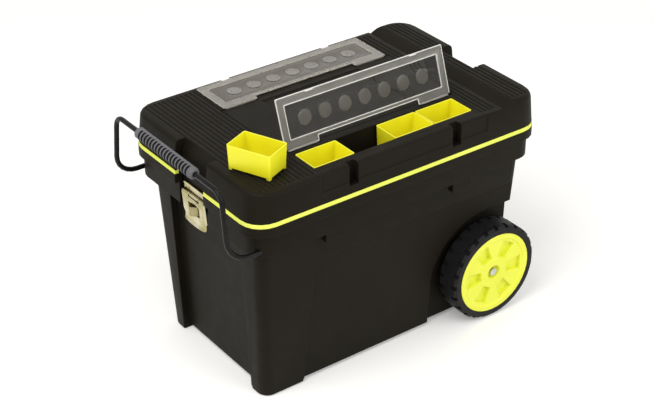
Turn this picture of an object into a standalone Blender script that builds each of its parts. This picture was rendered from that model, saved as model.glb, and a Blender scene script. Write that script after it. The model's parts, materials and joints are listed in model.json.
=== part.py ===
"""Wheeled tool chest: tub, hinged lid with two organisers, pull-out handle, latch and lift-out bins.

Metres, +Z up. The long side runs along X: the wheels and the lid hinge are at +X, the handle and the
latch at -X, and the side that the photograph shows is -Y. Every piece is drawn in the chest's own frame,
with the middle of the rim at X = Y = 0 and the ground at Z = 0.
"""

import math

import bmesh
import bpy
from mathutils import Matrix, Vector

# The solver for solids that share flat faces, where the exact one leaves them open
CLOSED = "MANIFOLD"

# Clearances
FIT = 0.0003
RUNNING_FIT = 0.0004
BEYOND = 0.02

# Tub
RIM_LENGTH = 0.578
RIM_WIDTH = 0.364
RIM_RADIUS = 0.040
TUB_HEIGHT = 0.351
WALL_SET_BACK = 0.022
HINGE_END_SET_BACK = 0.016
HANDLE_END_TAPER = 0.017
HINGE_END_TAPER = 0.012
SIDE_TAPER = 0.0205
TUB_RADIUS = 0.020
WALL = 0.0035
FLOOR = 0.004
BASE_ROUND = 0.004
FOOT_HEIGHT = 0.007
FOOT_LENGTH = 0.078
FOOT_WIDTH = 0.0345
RIM_BAND = 0.016
RIM_PLATE = 0.004
SKIRT_DROP = 0.038
SKIRT_SET_BACK = 0.008
SKIN = 0.003
SIDE_PANEL_DEPTH = 0.004
SIDE_PANEL_DROP = 0.110
SIDE_PANEL_LEAN = 0.013
SIDE_PANEL_RADIUS = 0.035
END_PANEL_DEPTH = 0.014
END_PANEL_WIDTH = 0.206
END_PANEL_DROP = 0.065
CORNER_STEPS = 5
EDGE_STEPS = 3
ROLL_STEPS = 10
FINE_SIDES = 24
ROD_SIDES = 16
PIN_SIDES = 12

# Wheels and axle
WHEEL_FROM_END = 0.0843
TYRE_DIAMETER = 0.178
TYRE_WIDTH = 0.045
TYRE_ROUND = 0.004
TYRE_SECTION = 0.014
WHEEL_SET_IN = 0.002
TREAD_BLOCKS = 24
TREAD_DEPTH = 0.004
TREAD_REACH = 0.013
TREAD_GAP = 0.008
WELL_GAP = 0.022
WELL_SIDE_GAP = 0.008
AXLE_DIAMETER = 0.010
AXLE_SET_IN = 0.005
AXLE_BEARING = 0.008
TUNNEL_GAP = 0.004
DISC_RIM = 0.0055
DISC_RIM_SET_IN = 0.004
DISC_FACE_SET_IN = 0.0025
DISC_WEB = 0.012
DISC_LIP = 0.009
HUB_DIAMETER = 0.026
HUB_FLOOR_DIAMETER = 0.020
HUB_SET_IN = 0.010
POCKETS = 6
POCKET_DEPTH = 0.009
POCKET_SHALLOW = 0.007
POCKET_FROM_HUB = 0.016
POCKET_FROM_LIP = 0.007
POCKET_INNER_WIDTH = 0.018
POCKET_OUTER_WIDTH = 0.028
CAP_DIAMETER = 0.0135
CAP_CROWN = 0.0016
SPACER_DIAMETER = 0.020
WHEEL_SIDES = 40

# Seal, lid and lid hinge
SEAL_HEIGHT = 0.0072
SEAL_WIDTH = 0.008
SEAL_SET_BACK = 0.0005
LID_SET_BACK = 0.0015
LID_HEIGHT = 0.050
LID_LEAN = 0.006
LID_WALL = 0.003
LID_PLATE = 0.004
LID_ROUND = 0.006
BLOCK_RISE = 0.0052
BLOCK_ROUND = 0.008
BLOCK_ROOF = 0.003
BLOCK_SIDE = 0.016
TROUGH_FROM_END = 0.081
TROUGH_DEPTH = 0.0055
TROUGH_RUN = 0.009
BLOCK_SLOPE_RUN = 0.021
RIB_PITCH = 0.0085
RIB_DEPTH = 0.0012
RIB_LENGTH = 0.336
LEFT_RIBS = 12
STRIP_RIBS = 3
BLOCK_RIBS = 4
HINGE_OUT = 0.007
HINGE_HEIGHT = 0.007
HINGE_RADIUS = 0.0055
HINGE_PIN_DIAMETER = 0.0045
HINGE_FOOT = 0.012
HINGE_KNUCKLE = 0.050
HINGE_KNUCKLES = 5
HINGE_GAP = 0.0005
KNUCKLE_TANGENT = 60

# Organisers in the lid, their covers and bins
ORGANISER_X = 0.001
COVER_LENGTH = 0.330
COVER_WIDTH = 0.0805
COVER_PLATE = 0.0026
COVER_LIFT = 0.0021
COVER_MARGIN = 0.0135
COVER_HINGE_RADIUS = 0.0026
COVER_TAB = 0.066
COVER_NOTCH = 0.008
COVER_BORDER = 0.014
WINDOW_DEPTH = 0.0008
SPOTS = 7
SPOT_PITCH = 0.039
SPOT_DIAMETER = 0.026
SPOT_RISE = 0.0005
SPOT_SIDES = 20
CATCH_SPACING = 0.206
CATCH_WIDTH = 0.014
CATCH_REACH = 0.004
CATCH_DROP = 0.006
CLIP_MARGIN = 0.002
CLIP_DROP = 0.036
COVER_PIN_DIAMETER = 0.0024
COVER_PIN_LENGTH = 0.012
COVER_GROOVE_GAP = 0.0015
COVER_OPENS = 109.0
DECK = 0.008
POCKET_WALL = 0.0025
POCKET_MARGIN = 0.011
BIN_LENGTH = 0.0775
BIN_WIDTH = 0.0515
BIN_HEIGHT = 0.0425
BIN_WALL = 0.0015
BIN_TAPER = 0.0015
BIN_RADIUS = 0.003
BIN_FOOT = 0.006
BIN_FOOT_HEIGHT = 0.0035
BIN_SPACING = 0.079
BIN_GAP = 0.002
BIN_SLOTS = 4
VACANT_SLOT = 1
BIN_UNDER_COVER = 0.0009
LOOSE_BIN_X = -0.228
LOOSE_BIN_Y = -0.103
LOOSE_BIN_TURN = -66.4

# Lid faces, the hand recesses in both ends and the centre tray
FACE_PANEL_DEPTH = 0.0012
FACE_PANEL_DROP = 0.030
RECESS_WIDTH = 0.090
RECESS_REACH = 0.0255
RECESS_DEPTH = 0.031
RECESS_SLOPE = 0.008
HINGE_RECESS_REACH = 0.0375
TRAY_WIDTH = 0.150
TRAY_DEPTH = 0.0015

# Latch
LATCH_WIDTH = 0.068
LATCH_NOTCH = 0.082
LATCH_NOTCH_DROP = 0.061
TONGUE_SET_BACK = 0.01475
TONGUE = 0.0055
TONGUE_WIDTH = 0.072
TONGUE_DROP = 0.032
LATCH_SHEET = 0.0015
LATCH_PIN_DIAMETER = 0.0032
LATCH_ROLL = 0.0032
LATCH_PIN_DROP = 0.0255
LATCH_ROLL_WIDTH = 0.026
HINGE_PLATE_RISE = 0.016
LATCH_LENGTH = 0.051
LATCH_FLARE_RADIUS = 0.009
LATCH_FLARE_ANGLE = 70
LATCH_WINDOW_WIDTH = 0.034
LATCH_WINDOW_HEIGHT = 0.022
LATCH_WINDOW_DROP = 0.010
STRIKE_WIDTH = 0.026
STRIKE_HEIGHT = 0.016
STRIKE_GAP = 0.0005
STRIKE_PLATE_WIDTH = 0.040
STRIKE_PLATE_HEIGHT = 0.026
RIVET_HEAD = 0.0064
RIVET_HEAD_RISE = 0.0012
RIVET_SHANK = 0.0032
RIVET_SPACING = 0.044
RIVET_RISE = 0.0095

# Pull-out handle
ROD_DIAMETER = 0.0085
ROD_DROP = 0.046
ROD_INSET = 0.00615
HANDLE_OUT = 0.036
HANDLE_RISE = 0.1163
HANDLE_LEAN = 0.01385
LOWER_BEND = 0.038
UPPER_BEND = 0.022
BEND_STEPS = 6
ROD_BEVEL_STEPS = 4
ROD_TAIL = 0.165
ROD_HOLE_GAP = 0.0006
GRIP_LENGTH = 0.162
GRIP_DIAMETER = 0.020
GRIP_RIBS = 15
GRIP_SIDES = 14
GRIP_RIB_DEPTH = 0.0022
GRIP_RIB_PARTS = 5
GRIP_COLLAR = 0.012
GUIDE_X = 0.128
GUIDE_LENGTH = 0.040
GUIDE_BELOW = 0.018
GUIDE_ABOVE = 0.0177
GUIDE_GAP = 0.0003
STOP_LENGTH = 0.006
STOP_DIAMETER = 0.0116

# Heights and half sizes that follow from the sizes above
RIM_X = RIM_LENGTH / 2
RIM_Y = RIM_WIDTH / 2
SEAL_BOTTOM = TUB_HEIGHT + FIT
LID_BOTTOM = SEAL_BOTTOM + SEAL_HEIGHT + FIT
LID_TOP = LID_BOTTOM + LID_HEIGHT
BLOCK_TOP = LID_TOP + BLOCK_RISE
LID_X = RIM_X - LID_SET_BACK
LID_Y = RIM_Y - LID_SET_BACK
LID_CORNER = RIM_RADIUS - LID_SET_BACK
BAND_BOTTOM = TUB_HEIGHT - RIM_BAND
SKIRT_BOTTOM = BAND_BOTTOM - SKIRT_DROP
SKIRT_X = RIM_X - SKIRT_SET_BACK
SKIRT_Y = RIM_Y - SKIRT_SET_BACK
TOP_LEFT = RIM_X - WALL_SET_BACK
TOP_RIGHT = RIM_X - HINGE_END_SET_BACK
TOP_SIDE = RIM_Y - WALL_SET_BACK
SIDE_PANEL_TOP = TUB_HEIGHT - SIDE_PANEL_DROP
END_PANEL_TOP = TUB_HEIGHT - END_PANEL_DROP
FLOOR_TOP = FOOT_HEIGHT + FLOOR
WHEEL_X = RIM_X - WHEEL_FROM_END
WHEEL_Z = TYRE_DIAMETER / 2
DISC_DIAMETER = TYRE_DIAMETER - 2 * TYRE_SECTION
WHEEL_FACE = RIM_Y - WHEEL_SET_IN
WHEEL_BACK = WHEEL_FACE - TYRE_WIDTH
WELL_FACE = WHEEL_BACK - WELL_SIDE_GAP
WELL_RADIUS = TYRE_DIAMETER / 2 + WELL_GAP
HINGE_X = RIM_X + HINGE_OUT
HINGE_Z = TUB_HEIGHT + HINGE_HEIGHT
TROUGH_X = RIM_X - TROUGH_FROM_END
COVER_X = (ORGANISER_X - COVER_LENGTH / 2, ORGANISER_X + COVER_LENGTH / 2)
COVER_EDGE = LID_Y - COVER_MARGIN
COVER_HINGE_Y = COVER_EDGE - COVER_WIDTH
COVER_TOP = LID_TOP + COVER_LIFT
COVER_UNDER = COVER_TOP - COVER_PLATE
COVER_HINGE_Z = COVER_TOP - COVER_PLATE / 2 - (COVER_HINGE_RADIUS - COVER_PLATE / 2) / 2
BIN_RIM = COVER_UNDER - BIN_UNDER_COVER
POCKET_FLOOR = BIN_RIM - BIN_HEIGHT - FIT
POCKET_HALF = BIN_SLOTS * BIN_SPACING / 2 + BIN_GAP / 2
POCKET_Y = COVER_HINGE_Y + POCKET_MARGIN
TONGUE_FACE = RIM_X - TONGUE_SET_BACK
LATCH_PIN_Z = TUB_HEIGHT - LATCH_PIN_DROP
HINGE_PLATE_FACE = TONGUE_FACE + FIT + LATCH_SHEET
LATCH_PIN_X = -(HINGE_PLATE_FACE + LATCH_ROLL - LATCH_SHEET / 2)
ARM_Y = SKIRT_Y - SKIN - ROD_INSET
ROD_HEIGHT = TUB_HEIGHT - ROD_DROP
HANDLE_X = RIM_X + HANDLE_OUT
HANDLE_HEIGHT = ROD_HEIGHT + HANDLE_RISE
SHIFT_X = (HANDLE_X + GRIP_DIAMETER / 2 - HINGE_X - HINGE_RADIUS) / 2

# Finishes: colour, roughness, metallic
BLACK_PLASTIC = ((0.022, 0.020, 0.018), 0.45, 0.0)
LEMON_SEAL = ((0.78, 0.83, 0.10), 0.5, 0.0)
YELLOW_PLASTIC = ((0.90, 0.88, 0.03), 0.4, 0.0)
CLEAR_PLASTIC = ((0.62, 0.61, 0.57), 0.25, 0.0)
BLACK_RUBBER = ((0.028, 0.027, 0.026), 0.8, 0.0)
GREY_RUBBER = ((0.17, 0.18, 0.21), 0.65, 0.0)
BLACK_STEEL = ((0.018, 0.018, 0.018), 0.35, 0.6)
BRIGHT_STEEL = ((0.55, 0.55, 0.54), 0.3, 1.0)
YELLOW_ZINC = ((0.62, 0.55, 0.36), 0.3, 1.0)


def clear_scene():
    for obj in list(bpy.data.objects):
        bpy.data.objects.remove(obj)
    for collection in list(bpy.data.collections):
        bpy.data.collections.remove(collection)


def add_collection(name):
    collection = bpy.data.collections.new(name)
    bpy.context.scene.collection.children.link(collection)
    return collection


clear_scene()
PARTS = add_collection("tool_chest")
CUTTERS = add_collection("tool_chest_cutters")


def add_object(name, data, collection=CUTTERS):
    obj = bpy.data.objects.new(name, data)
    collection.objects.link(obj)
    return obj


def finish_mesh(name, bm):
    """Turn a bmesh into an object, with its faces pointing outwards."""
    bmesh.ops.recalc_face_normals(bm, faces=bm.faces)
    if bm.calc_volume(signed=True) < 0:
        bmesh.ops.reverse_faces(bm, faces=bm.faces)
    mesh = bpy.data.meshes.new(name)
    bm.to_mesh(mesh)
    bm.free()
    return add_object(name, mesh)


def pick(span, side):
    return span[1] if side > 0 else span[0]


def box(name, x, y, z):
    """A plain box between the given spans."""
    bm = bmesh.new()
    bmesh.ops.create_cube(bm, size=1.0)
    for vert in bm.verts:
        vert.co = Vector((pick(x, vert.co.x), pick(y, vert.co.y), pick(z, vert.co.z)))
    return finish_mesh(name, bm)


def boxes(name, spans):
    """Several separate boxes in one cutter."""
    bm = bmesh.new()
    for x, y, z in spans:
        made = bmesh.ops.create_cube(bm, size=1.0)
        for vert in made["verts"]:
            vert.co = Vector((pick(x, vert.co.x), pick(y, vert.co.y), pick(z, vert.co.z)))
    return finish_mesh(name, bm)


def rounded_box(name, top, foot, z, radius, top_round=0.0, foot_round=0.0):
    """A box with round upright edges; top and foot are its plans, so it can taper."""
    bm = bmesh.new()
    bmesh.ops.create_cube(bm, size=1.0)
    for vert in bm.verts:
        plan = top if vert.co.z > 0 else foot
        vert.co = Vector((pick(plan[0], vert.co.x), pick(plan[1], vert.co.y), pick(z, vert.co.z)))
    middle = sum(z) / 2
    if radius > 0:
        upright = [e for e in bm.edges if (e.verts[0].co.z - middle) * (e.verts[1].co.z - middle) < 0]
        bmesh.ops.bevel(bm, geom=upright, offset=radius, segments=CORNER_STEPS, profile=0.5, affect="EDGES")
    for size, level in ((top_round, z[1]), (foot_round, z[0])):
        if size > 0:
            around = [e for e in bm.edges if all(abs(v.co.z - level) < FIT for v in e.verts)]
            bmesh.ops.bevel(bm, geom=around, offset=size, segments=EDGE_STEPS, profile=0.5, affect="EDGES")
    return finish_mesh(name, bm)


def plan_of(half_x, half_y):
    return ((-half_x, half_x), (-half_y, half_y))


def straight_box(name, half_x, half_y, z, radius, **rounds):
    plan = plan_of(half_x, half_y)
    return rounded_box(name, plan, plan, z, radius, **rounds)


def cylinder(name, start, end, radius, sides=FINE_SIDES):
    """A round bar from start to end."""
    start = Vector(start)
    end = Vector(end)
    along = end - start
    bm = bmesh.new()
    bmesh.ops.create_cone(
        bm, cap_ends=True, segments=sides, radius1=radius, radius2=radius, depth=along.length
    )
    turn = along.to_track_quat("Z", "Y").to_matrix().to_4x4()
    bm.transform(Matrix.Translation((start + end) / 2) @ turn)
    return finish_mesh(name, bm)


def arc(centre, radius, start, end, steps):
    """Points on a circle from one angle to another, in degrees."""
    angles = [math.radians(start + (end - start) * n / steps) for n in range(steps + 1)]
    return [(centre[0] + radius * math.cos(a), centre[1] + radius * math.sin(a)) for a in angles]


def curve_to_mesh(name, curve, matrix):
    """The mesh of a curve, welded, in place of the curve."""
    curve_object = add_object(name + "_curve", curve)
    depsgraph = bpy.context.evaluated_depsgraph_get()
    mesh = bpy.data.meshes.new_from_object(curve_object.evaluated_get(depsgraph))
    bpy.data.objects.remove(curve_object)
    bm = bmesh.new()
    bm.from_mesh(mesh)
    bpy.data.meshes.remove(mesh)
    bmesh.ops.remove_doubles(bm, verts=bm.verts, dist=1e-6)
    bm.transform(matrix)
    return finish_mesh(name, bm)


PLANES = {
    "XY": Matrix(((1, 0, 0), (0, 1, 0), (0, 0, 1))),
    "XZ": Matrix(((1, 0, 0), (0, 0, -1), (0, 1, 0))),
    "YZ": Matrix(((0, 0, 1), (1, 0, 0), (0, 1, 0))),
}
THROUGH = {"XY": Vector((0, 0, 1)), "XZ": Vector((0, 1, 0)), "YZ": Vector((1, 0, 0))}


def extruded(name, points, plane, span):
    """A flat outline in one of the main planes, extruded through it over span."""
    curve = bpy.data.curves.new(name, "CURVE")
    curve.dimensions = "2D"
    curve.fill_mode = "BOTH"
    curve.extrude = (span[1] - span[0]) / 2
    spline = curve.splines.new("POLY")
    spline.points.add(len(points) - 1)
    for point, (u, v) in zip(spline.points, points):
        point.co = (u, v, 0.0, 1.0)
    spline.use_cyclic_u = True
    move = Matrix.Translation(THROUGH[plane] * sum(span) / 2)
    return curve_to_mesh(name, curve, move @ PLANES[plane].to_4x4())


def turned(name, profile, sides):
    """A ring turned about its own Y axis from a closed profile of (radius, along) points."""
    bm = bmesh.new()
    verts = [bm.verts.new((radius, along, 0.0)) for radius, along in profile]
    for first, second in zip(verts, verts[1:] + verts[:1]):
        bm.edges.new((first, second))
    mesh = bpy.data.meshes.new(name)
    bm.to_mesh(mesh)
    bm.free()
    obj = add_object(name, mesh)
    screw = obj.modifiers.new("turn", "SCREW")
    screw.axis = "Y"
    screw.steps = sides
    screw.render_steps = sides
    screw.use_merge_vertices = True
    screw.merge_threshold = 0.00001
    screw.use_normal_calculate = True
    return obj


def combine(obj, other, operation, solver="EXACT"):
    """Join, cut or keep obj with another solid, which goes along with it."""
    modifier = obj.modifiers.new(other.name, "BOOLEAN")
    modifier.operation = operation
    modifier.solver = solver
    modifier.object = other
    other.parent = obj
    other.hide_render = True
    other.display_type = "WIRE"


def cut(obj, *others, solver="EXACT"):
    for other in others:
        combine(obj, other, "DIFFERENCE", solver)
    return obj


def join(obj, *others, solver="EXACT"):
    for other in others:
        combine(obj, other, "UNION", solver)
    return obj


def pivot(name, at, parent=None, turn=(0.0, 0.0, 0.0)):
    """An empty on a joint's axis, placed in the chest's frame; turn is in degrees."""
    empty = bpy.data.objects.new(name, None)
    PARTS.objects.link(empty)
    empty.parent = parent
    empty["at"] = at
    base = Vector(parent["at"]) if parent else Vector()
    empty.location = Vector(at) - base
    empty.rotation_euler = [math.radians(angle) for angle in turn]
    return empty


def seat(obj, name, empty, finish, at=(0.0, 0.0, 0.0)):
    """Make obj a part of the chest: its name, its place under a pivot and its material."""
    obj.name = name
    obj.data.name = name
    CUTTERS.objects.unlink(obj)
    PARTS.objects.link(obj)
    obj.parent = empty
    obj.location = Vector(at) - Vector(empty["at"])
    colour, roughness, metallic = finish
    material = bpy.data.materials.new(name + "_finish")
    material.use_nodes = True
    shader = material.node_tree.nodes["Principled BSDF"]
    shader.inputs["Base Color"].default_value = (*colour, 1.0)
    shader.inputs["Roughness"].default_value = roughness
    shader.inputs["Metallic"].default_value = metallic
    obj.data.materials.append(material)
    return obj


# The chest's frame: the bounding box is centred on the world's origin along X
ROOT = pivot("tool_chest_frame", (0.0, 0.0, 0.0))
ROOT.location.x = SHIFT_X
LID_PIVOT = pivot("lid_pivot", (HINGE_X, 0.0, HINGE_Z), ROOT)
HANDLE_PIVOT = pivot("handle_pivot", (-HANDLE_X, 0.0, ROD_HEIGHT), ROOT)


def leaning(top, taper, z):
    """How far a leaning wall of the tub is from the middle, at a height."""
    return top - taper * (1 - z / TUB_HEIGHT)


def handle_end(z):
    return leaning(TOP_LEFT, HANDLE_END_TAPER, z)


def hinge_end(z):
    return leaning(TOP_RIGHT, HINGE_END_TAPER, z)


def half_width(z):
    return leaning(TOP_SIDE, SIDE_TAPER, z)


def lid_end(z):
    """Half the lid's length at a height: its ends lean inwards."""
    return LID_X - LID_LEAN * (z - LID_BOTTOM) / LID_HEIGHT


def notch_back():
    """The back of the notch that the latch lies in, just clear of the tub's end wall."""
    return -TOP_LEFT - FIT


def tub_form(name, z, left=0.0, right=0.0, side=0.0, radius=0.0, foot_round=0.0):
    """The tub's tapered form, set in from its outer faces."""
    plans = []
    for level in (z[1], z[0]):
        x = (left - handle_end(level), hinge_end(level) - right)
        y = (side - half_width(level), half_width(level) - side)
        plans.append((x, y))
    return rounded_box(name, plans[0], plans[1], z, radius, foot_round=foot_round)


def side_panels():
    """The large shallow panels in both long sides, from the corner posts to the wheel end."""
    core = tub_form("side_panel_core", (-BEYOND, TUB_HEIGHT), -BEYOND, -BEYOND, SIDE_PANEL_DEPTH)
    left = FOOT_LENGTH - handle_end(0.0)
    corner = (left + SIDE_PANEL_LEAN + SIDE_PANEL_RADIUS, SIDE_PANEL_TOP - SIDE_PANEL_RADIUS)
    outline = [(left, -BEYOND), *arc(corner, SIDE_PANEL_RADIUS, 180, 90, CORNER_STEPS)]
    outline += [(RIM_X + BEYOND, SIDE_PANEL_TOP), (RIM_X + BEYOND, -BEYOND)]
    panels = extruded("side_panels", outline, "XZ", (-RIM_Y - BEYOND, RIM_Y + BEYOND))
    return cut(panels, core)


def end_panel(name, grow):
    """The deep panel between the two posts of the handle end, grown by the wall for the inside."""
    core = tub_form(name + "_core", (-BEYOND, TUB_HEIGHT), END_PANEL_DEPTH + grow, -BEYOND, -BEYOND)
    half = END_PANEL_WIDTH / 2 + grow
    panel = box(name, (-RIM_X - BEYOND, 0.0), (-half, half), (-BEYOND, END_PANEL_TOP + grow))
    return cut(panel, core)


def wheel_wells(name, grow):
    """Both wheel wells: an arch over the wheel, open to the ground and to the end."""
    radius = WELL_RADIUS + grow
    arch = arc((WHEEL_X, WHEEL_Z), radius, 180, 90, 2 * CORNER_STEPS)
    outline = [(WHEEL_X - radius, -BEYOND), *arch]
    outline += [(RIM_X + BEYOND, WHEEL_Z + radius), (RIM_X + BEYOND, -BEYOND)]
    spans = ((WELL_FACE - grow, RIM_Y), (-RIM_Y, grow - WELL_FACE))
    return [extruded(name, outline, "XZ", span) for span in spans]


def axle_tunnel(name, grow, half):
    """The inverted channel across the floor that the axle lies in."""
    width = AXLE_DIAMETER / 2 + TUNNEL_GAP + grow
    outline = [(WHEEL_X - width, -BEYOND), *arc((WHEEL_X, WHEEL_Z), width, 180, 0, 2 * EDGE_STEPS)]
    outline.append((WHEEL_X + width, -BEYOND))
    return extruded(name, outline, "XZ", (-half, half))


def tub_inside():
    """The tub's hollow, which goes round the wells, the tunnel and the end panel."""
    inside = tub_form(
        "tub_inside",
        (FLOOR_TOP, TUB_HEIGHT + BEYOND),
        WALL,
        WALL,
        SIDE_PANEL_DEPTH + WALL,
        TUB_RADIUS - WALL,
        BASE_ROUND,
    )
    cut(inside, end_panel("end_panel_inside", WALL))
    cut(inside, *wheel_wells("well_inside", WALL))
    return cut(inside, axle_tunnel("tunnel_inside", WALL, RIM_Y))


def skirt_channel():
    """The space behind the rim and the skirt, where the handle's rods run."""
    low = straight_box(
        "channel_low",
        SKIRT_X - SKIN,
        SKIRT_Y - SKIN,
        (SKIRT_BOTTOM - BEYOND, TUB_HEIGHT - RIM_PLATE),
        RIM_RADIUS - SKIRT_SET_BACK - SKIN,
    )
    high = straight_box(
        "channel_high",
        RIM_X - SKIN,
        RIM_Y - SKIN,
        (BAND_BOTTOM + SKIN, TUB_HEIGHT - RIM_PLATE),
        RIM_RADIUS - SKIN,
    )
    join(low, high)
    wall_span = (-BEYOND, TUB_HEIGHT + BEYOND)
    wall = tub_form("channel_wall", wall_span, -FIT, -FIT, -FIT, radius=TUB_RADIUS + FIT)
    half = LATCH_NOTCH / 2 + SKIN
    cheeks = box("notch_cheeks", (-RIM_X, -RIM_X / 2), (-half, half), (0.0, TUB_HEIGHT))
    return cut(low, wall, cheeks)


def knuckle_spans(first):
    """Every second knuckle of the lid hinge, starting with the first or the second."""
    start = -HINGE_KNUCKLES * HINGE_KNUCKLE / 2
    for n in range(first, HINGE_KNUCKLES, 2):
        low = start + n * HINGE_KNUCKLE
        yield (low + HINGE_GAP, low + HINGE_KNUCKLE - HINGE_GAP)


def tub_knuckles():
    axis = (HINGE_X, HINGE_Z)
    level = TUB_HEIGHT - FIT
    outline = [(RIM_X - SKIN / 2, HINGE_Z - HINGE_FOOT)]
    outline += arc(axis, HINGE_RADIUS, -KNUCKLE_TANGENT, 180, ROLL_STEPS)
    outline += [(HINGE_X - HINGE_RADIUS, level), (RIM_X - SKIN / 2, level)]
    return [extruded("tub_knuckle", outline, "XZ", span) for span in knuckle_spans(0)]


def lid_knuckles():
    axis = (HINGE_X, HINGE_Z)
    level = LID_BOTTOM + FIT
    start = 180 - math.degrees(math.asin((level - HINGE_Z) / HINGE_RADIUS))
    end = 360 + KNUCKLE_TANGENT
    outline = [(LID_X - LID_WALL / 2, level), *arc(axis, HINGE_RADIUS, start, end, ROLL_STEPS)]
    outline.append((lid_end(level + HINGE_FOOT) - LID_WALL / 2, level + HINGE_FOOT))
    return [extruded("lid_knuckle", outline, "XZ", span) for span in knuckle_spans(1)]


def hinge_bore():
    half = HINGE_KNUCKLES * HINGE_KNUCKLE / 2 + BEYOND
    radius = HINGE_PIN_DIAMETER / 2 + FIT
    return cylinder("lid_hinge_bore", (HINGE_X, -half, HINGE_Z), (HINGE_X, half, HINGE_Z), radius, ROD_SIDES)


def make_tub():
    tub = tub_form("tub", (0.0, TUB_HEIGHT), radius=TUB_RADIUS, foot_round=BASE_ROUND)
    cut(tub, side_panels(), end_panel("end_panel", 0.0), solver=CLOSED)
    under = (-BEYOND, FOOT_HEIGHT)
    across = (-RIM_Y, RIM_Y)
    along = (-RIM_X, RIM_X)
    half = half_width(0.0) - FOOT_WIDTH
    cut(tub, box("under_length", (FOOT_LENGTH - handle_end(0.0), RIM_X), across, under), solver=CLOSED)
    cut(tub, box("under_width", along, (-half, half), under), solver=CLOSED)
    band = straight_box("rim_band", RIM_X, RIM_Y, (BAND_BOTTOM, TUB_HEIGHT), RIM_RADIUS)
    skirt_span = (SKIRT_BOTTOM, BAND_BOTTOM + FIT)
    skirt = straight_box("skirt", SKIRT_X, SKIRT_Y, skirt_span, RIM_RADIUS - SKIRT_SET_BACK)
    join(tub, band, skirt, solver=CLOSED)
    cut(tub, skirt_channel(), tub_inside(), solver=CLOSED)
    cut(tub, *wheel_wells("wheel_well", 0.0), solver=CLOSED)
    cut(tub, axle_tunnel("axle_tunnel", 0.0, WELL_FACE - AXLE_BEARING), solver=CLOSED)
    ends = ((WHEEL_X, -RIM_Y, WHEEL_Z), (WHEEL_X, RIM_Y, WHEEL_Z))
    cut(tub, cylinder("axle_hole", *ends, AXLE_DIAMETER / 2 + FIT), solver=CLOSED)
    notch = LATCH_NOTCH / 2
    notch_x = (-RIM_X - BEYOND, notch_back())
    notch_span = (TUB_HEIGHT - LATCH_NOTCH_DROP, TUB_HEIGHT + BEYOND)
    cut(tub, box("latch_notch", notch_x, (-notch, notch), notch_span), solver=CLOSED)
    for y in (-ARM_Y, ARM_Y):
        start = (-RIM_X - BEYOND, y, ROD_HEIGHT)
        end = (RIM_RADIUS - RIM_X, y, ROD_HEIGHT)
        cut(tub, cylinder("rod_hole", start, end, ROD_DIAMETER / 2 + ROD_HOLE_GAP, ROD_SIDES), solver=CLOSED)
    join(tub, *tub_knuckles(), solver=CLOSED)
    cut(tub, hinge_bore(), solver=CLOSED)
    seat(tub, "tub", ROOT, BLACK_PLASTIC)


def make_seal():
    half_x = RIM_X - SEAL_SET_BACK
    half_y = RIM_Y - SEAL_SET_BACK
    radius = RIM_RADIUS - SEAL_SET_BACK
    span = (SEAL_BOTTOM, SEAL_BOTTOM + SEAL_HEIGHT)
    hole_span = (SEAL_BOTTOM - BEYOND, SEAL_BOTTOM + SEAL_HEIGHT + BEYOND)
    seal = straight_box("rim_seal", half_x, half_y, span, radius)
    hole = straight_box(
        "seal_hole", half_x - SEAL_WIDTH, half_y - SEAL_WIDTH, hole_span, radius - SEAL_WIDTH
    )
    gap = LATCH_NOTCH / 2
    notch = box("seal_gap", (-RIM_X - BEYOND, -RIM_X / 2), (-gap, gap), hole_span)
    seat(cut(seal, hole, notch), "rim_seal", ROOT, LEMON_SEAL)


def lid_form(name, z, inset=0.0, top_round=0.0):
    """The lid's form between two heights, set in from its outer faces; its ends lean."""
    half_y = LID_Y - inset
    plans = [plan_of(lid_end(level) - inset, half_y) for level in (z[1], z[0])]
    return rounded_box(name, *plans, z, LID_CORNER - inset, top_round=top_round)


def lid_block():
    """The raised block over the hinge end."""
    low = LID_TOP - BLOCK_ROUND
    block = lid_form("lid_block", (low, BLOCK_TOP), FIT, BLOCK_ROUND)
    foot = LID_TOP - TROUGH_DEPTH
    crest = BLOCK_TOP + FIT
    outline = [(TROUGH_X, low - BEYOND), (TROUGH_X, foot), (TROUGH_X + BLOCK_SLOPE_RUN, crest)]
    outline += [(RIM_X + BEYOND, crest), (RIM_X + BEYOND, low - BEYOND)]
    combine(block, extruded("block_wedge", outline, "XZ", (-RIM_Y, RIM_Y)), "INTERSECT")
    return block


def trough():
    """The V along the lid, beside the block, that holds stock for sawing."""
    foot = LID_TOP - TROUGH_DEPTH
    edge = TROUGH_X - TROUGH_RUN
    crest = TROUGH_X + BLOCK_SLOPE_RUN
    outline = [(edge, LID_TOP), (TROUGH_X, foot), (crest, foot)]
    outline += [(crest, LID_TOP + BEYOND), (edge, LID_TOP + BEYOND)]
    return extruded("trough", outline, "XZ", (-RIM_Y, RIM_Y))


def hand_recess(name, side, grow):
    """The recess for the fingers in one end of the lid; side is -1 behind the grip, 1 at the hinge."""
    top = BLOCK_TOP if side > 0 else LID_TOP
    reach = HINGE_RECESS_REACH if side > 0 else RECESS_REACH
    floor = top - RECESS_DEPTH - grow
    back = side * (LID_X - reach - grow)
    end = side * (RIM_X + BEYOND)
    outline = [(end, floor), (back + side * RECESS_SLOPE, floor), (back, top), (back, top + BEYOND)]
    outline.append((end, top + BEYOND))
    half = RECESS_WIDTH / 2 + grow
    return extruded(name, outline, "XZ", (-half, half))


def both_sides(low, high):
    """The same span across Y on the front and on the rear half."""
    return ((-high, -low), (low, high))


def organiser_box(name, grow, low, high):
    """The bin pockets of both organisers, grown by their wall for the outside."""
    x = (ORGANISER_X - POCKET_HALF - grow, ORGANISER_X + POCKET_HALF + grow)
    near = POCKET_Y - grow
    far = POCKET_Y + BIN_WIDTH + 2 * BIN_GAP + grow
    return boxes(name, [(x, y, (low, high)) for y in both_sides(near, far)])


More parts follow.
